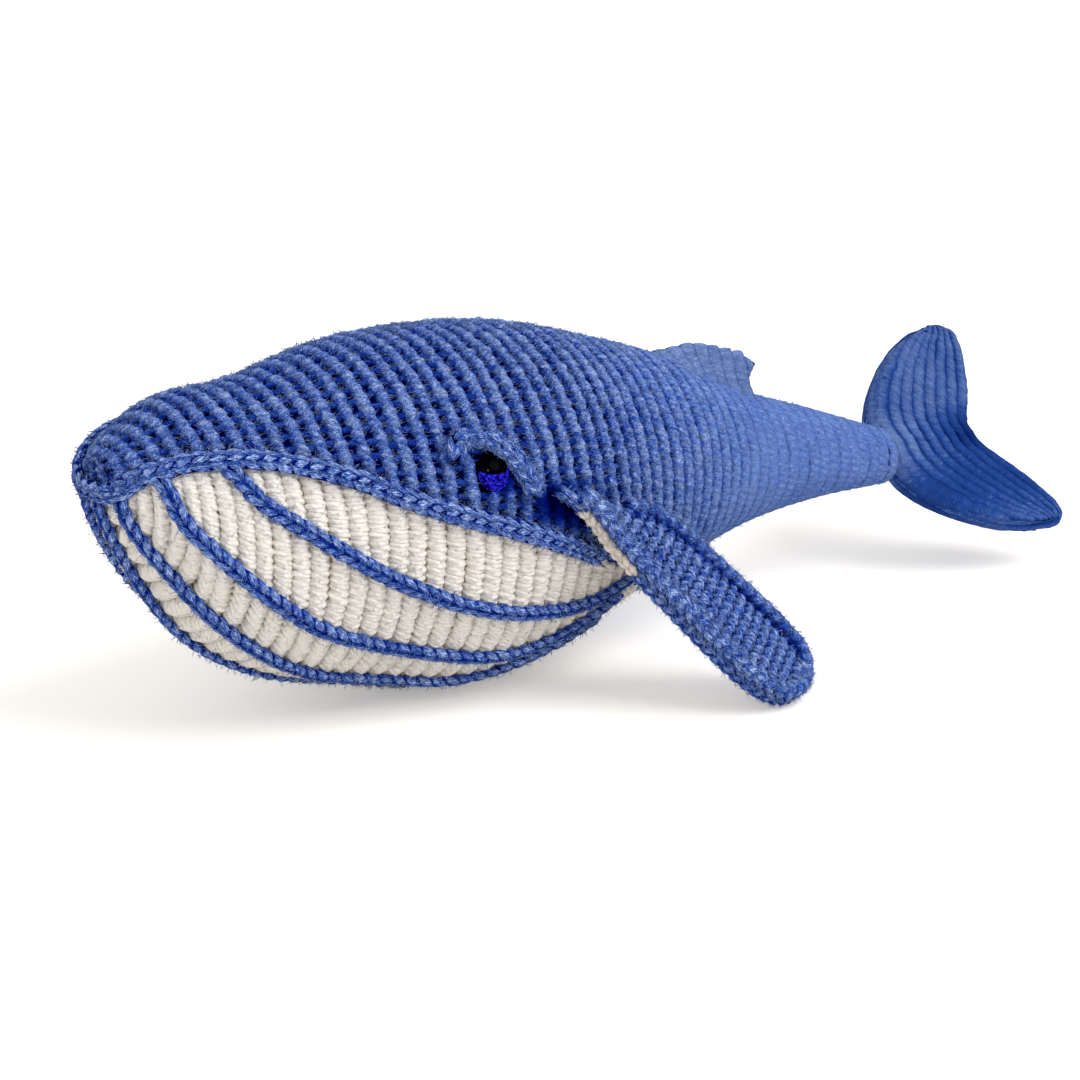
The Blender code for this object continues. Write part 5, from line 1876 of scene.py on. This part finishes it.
@dataclass
class Flukes:
    """Two ribbed layers sewn round the edge, turned a little to one side."""

    span: float = 0.096
    length: float = 0.068
    root_thickness: float = 0.016
    tip_thickness: float = 0.009
    bank: float = math.radians(43.5)
    lift: float = math.radians(12)
    lift_rounding: float = 0.010
    skew: float = math.radians(3)
    root_share: float = 0.20
    edge_share: float = 0.35
    nose_share: float = 0.12
    gap: float = 0.0003
    ribs: int = 8
    reach: float = 0.975
    stitch: float = 0.0047
    sink: float = 0.0011
    rim: float = 0.0046
    front_rim: float = 0.0032
    tip_share: float = 0.985
    base_inset: float = 0.0015
    rope: Rope = Rope(swell=0.04, shade=1.6)

    def hinge(self) -> Matrix:
        """Return the frame of the root, at the joint's own place."""
        return Matrix.Translation(joint_place("flukes_bend")) @ Matrix.Rotation(self.bank, 4, "Y")

    def edges(self, outwards: np.ndarray) -> tuple[np.ndarray, np.ndarray, np.ndarray]:
        """Return the front, the chord and the lift at places across the span."""
        distance = np.abs(outwards)
        lead = smooth_curve(FLUKE_LEAD_SHARES, distance)[:, 0]
        trail = smooth_curve(FLUKE_TRAIL_SHARES, distance)[:, 0]
        beyond = np.maximum(distance - self.root_share, 0.0) * self.span / 2
        rise = (np.hypot(beyond, self.lift_rounding) - self.lift_rounding) * math.tan(self.lift)
        front = lead * self.length - np.copysign(beyond * math.tan(self.skew), outwards)
        return front, np.maximum(trail - lead, 0.0) * self.length, rise

    def surface(self, outwards: np.ndarray, part: np.ndarray, level: int, inset: float) -> np.ndarray:
        """Return points on a layer, in the hinge frame.

        Args:
            outwards: Places across the span, from -1 to 1.
            part: Places along the chord there, from 0 to 1.
            level: 1 for the upper layer, -1 for the lower.
            inset: How far inside the layer's outer face the points lie.

        Returns:
            The points.
        """
        front, chord, rise = self.edges(outwards)
        distance = np.abs(outwards)
        thickness = self.root_thickness + (self.tip_thickness - self.root_thickness) * distance
        nose = np.maximum(np.minimum(self.root_thickness / 2, chord / 2), 1e-6)
        x = part * chord
        swell = np.sqrt(np.clip(1 - (1 - np.minimum(x / nose, 1.0)) ** 2, 0.0, 1.0))
        fall = np.clip((x - nose) / np.maximum(chord - nose, 1e-6), 0.0, 1.0)
        swell = np.where(x < nose, swell, 1 - (1 - self.edge_share) * fall ** 2)
        height = self.gap / 2 + (thickness / 2 - self.gap / 2) * np.maximum(swell, self.nose_share)
        height = np.maximum(height - inset, self.gap / 2)
        return np.stack((outwards * self.span / 2, front + x - self.root_thickness / 2,
                         rise + level * height), axis=-1)

    def layer(self, level: int, tone: float) -> Shape:
        """Build the closed base of one layer, in a low tone of painted shade under the ribs that grows
        lighter towards the tips.
        """
        spans = np.linspace(-1.0, 1.0, 49) * self.tip_share
        parts = np.linspace(0.03, 0.97, 25)
        span_grid, part_grid = np.meshgrid(spans, parts, indexing="ij")
        flat = (span_grid.ravel(), part_grid.ravel())
        outer = self.surface(*flat, level, self.base_inset).reshape(*span_grid.shape, 3)
        _, _, rise = self.edges(spans)
        inner = outer.copy()
        inner[..., 2] = (rise + level * self.gap / 2)[:, None]
        shape = capped(np.concatenate((outer, inner[:, ::-1], outer[:, :1]), axis=1), tone)
        outwards = np.abs(shape.points[:, 0]) / (self.span / 2)
        shape.tones = tone + 0.30 * np.clip((outwards - 0.86) / 0.08, 0.0, 1.0)
        return shape

    def stitches(self, level: int, kit: YarnKit) -> list[Shape]:
        """Work the ribs of one layer, which run from lobe to lobe and draw together at the tips, with
        painted shade and painted light in their tones.
        """
        spans = np.linspace(-self.reach, self.reach, 300)
        _, chord, _ = self.edges(spans)
        parts = []
        for place in (0.015, *((np.arange(self.ribs) + 0.5) / self.ribs)):
            share = np.full(spans.shape, place)
            line = self.surface(spans, share, level, 0.0)
            heading = unit(np.gradient(line, axis=0))
            nearer = self.surface(spans, share - 0.02, level, 0.0)
            further = self.surface(spans, share + 0.02, level, 0.0)
            up = unit(np.cross(heading, unit(further - nearer))) * level
            pitch = np.maximum(chord / self.ribs, 0.0012)
            # Painted shade darkens the middle towards the trailing notch and the near lobe; painted light
            # lifts the middle towards the leading edge
            crease_shade = np.exp(-(spans / 0.2) ** 2) * place ** 2
            near = 0.16 * np.exp(-((spans - 0.5) / 0.35) ** 2)
            light = 0.13 * np.exp(-(spans / 0.25) ** 2) * (1 - place) ** 2
            parts.append(self.rope.lay(kit.stitcher, line - up * self.sink, up, pitch * 0.52,
                                       np.minimum(pitch * 0.4, 0.0018), self.stitch,
                                       0.75 + light - 0.34 * crease_shade - near, 0.0, 0.6))
        return parts

    def rim_path(self) -> np.ndarray:
        """Return the sewn edge, from one side of the root round both lobes, with its radius last."""
        outer = np.linspace(self.root_share, self.tip_share, 60)
        across = np.linspace(self.tip_share, -self.tip_share, 120)
        lines = []
        for outwards, trailing in ((outer, False), (across, True), (-outer[::-1], False)):
            front, chord, rise = self.edges(outwards)
            radius = (self.rim if trailing else self.front_rim) / 2
            edge = front + chord - radius * 0.9 if trailing else front + self.front_rim * 0.3
            lines.append(np.column_stack((outwards * self.span / 2, edge, rise,
                                          np.full(outwards.shape, radius))))
        path = np.concatenate(lines)
        path[:, 1] -= self.root_thickness / 2
        stations = spread(path, 0.002, centred=False)
        even = between(path, stations)
        for _ in range(2):
            even[1:-1] = (even[:-2] + even[1:-1] * 2 + even[2:]) / 4
        return even

    def build(self, kit: YarnKit) -> None:
        """Build both layers of the flukes."""
        hinge = self.hinge()
        path, radius = np.split(self.rim_path(), [3], axis=1)
        along = unit(np.gradient(path, axis=0))
        outwards = np.cross(along, np.array((0.0, 0.0, 1.0)))
        for level in Level:
            parts = [self.layer(level.value, 0.36), *self.stitches(level.value, kit)]
            if level is Level.UPPER:
                parts.append(self.rope.lay(kit.stitcher, path, unit(outwards), radius[:, 0], radius[:, 0],
                                           self.stitch, 0.70, 0.0, 0.6))
            name = level.name.lower()
            dress(f"flukes_{name}_crochet", joined(parts).moved(hinge), kit.felted, "flukes",
                  [f"flukes_{name}_panel"])


@dataclass
class Studio:
    """The pale floor, the soft light and the camera."""

    camera_place: tuple[float, float, float] = (0.6772, -0.5010, 0.2881)
    camera_target: tuple[float, float, float] = (0.02575, 0.02471, 0.0512)
    lens: float = 87.03
    sensor: float = 36.0
    floor_size: float = 30.0
    key_place: tuple[float, float, float] = (1.1, 0.55, 1.25)
    key_power: float = 1.9
    fill_place: tuple[float, float, float] = (0.9, -1.2, 0.7)
    fill_power: float = 0.54
    softness: float = math.radians(40)
    glint_place: tuple[float, float, float] = (1.0, -0.35, 0.75)
    glint_size: float = 0.12
    glint_power: float = 8.0
    sky: float = 0.72

    def lamp(self, name: str, place: Sequence[float], power: float) -> None:
        """Add a wide even light that comes from a place's direction."""
        light = bpy.data.lights.new(name, "SUN")
        light.angle = self.softness
        light.energy = power
        self.aim(light, place)

    def aim(self, data: bpy.types.ID, place: Sequence[float]) -> bpy.types.Object:
        """Hang a light or a camera at a place so that it looks at the whale, and return its object."""
        item = bpy.data.objects.new(data.name, data)
        bpy.context.scene.collection.objects.link(item)
        item.location = place
        sight = Vector(self.camera_target) - Vector(place)
        item.rotation_euler = sight.to_track_quat("-Z", "Y").to_euler()
        return item

    def build(self) -> None:
        """Build the studio and set the camera."""
        scene = bpy.context.scene
        scene.view_settings.view_transform = "Standard"
        bpy.ops.object.select_all(action="DESELECT")
        bpy.ops.mesh.primitive_plane_add(size=self.floor_size)
        floor = bpy.context.object
        floor.name = "floor"
        floor.data.materials.append(SweepPaper().build())
        self.lamp("key_light", self.key_place, self.key_power)
        self.lamp("fill_light", self.fill_place, self.fill_power)
        light = bpy.data.lights.new("glint_light", "AREA")
        light.size = self.glint_size
        light.energy = self.glint_power
        self.aim(light, self.glint_place).visible_diffuse = False
        world = bpy.data.worlds.new("studio_sky")
        world.use_nodes = True
        tree = world.node_tree
        looked_at = add_node(tree, "ShaderNodeLightPath").outputs["Is Camera Ray"]
        strength = add_node(tree, "ShaderNodeMapRange",
                            {"Value": looked_at, "To Min": self.sky, "To Max": 1.0}).outputs[0]
        tree.links.new(strength, tree.nodes["Background"].inputs["Strength"])
        tree.nodes["Background"].inputs["Color"].default_value = (1.0, 1.0, 1.0, 1.0)
        scene.world = world
        data = bpy.data.cameras.new("camera")
        data.lens = self.lens
        data.sensor_width = self.sensor
        data.clip_end = 100.0
        scene.camera = self.aim(data, self.camera_place)


def main() -> None:
    """Build the whale's pieces and the studio."""
    logging.basicConfig(level=logging.INFO, format="%(message)s")
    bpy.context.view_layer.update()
    kit = YarnKit()
    Covers().build(kit)
    Chains().build(kit)
    Eye().build(kit)
    Flipper().build(kit)
    DorsalFin().build(kit)
    Flukes().build(kit)
    Studio().build()


if __name__ == "__main__":
    main()
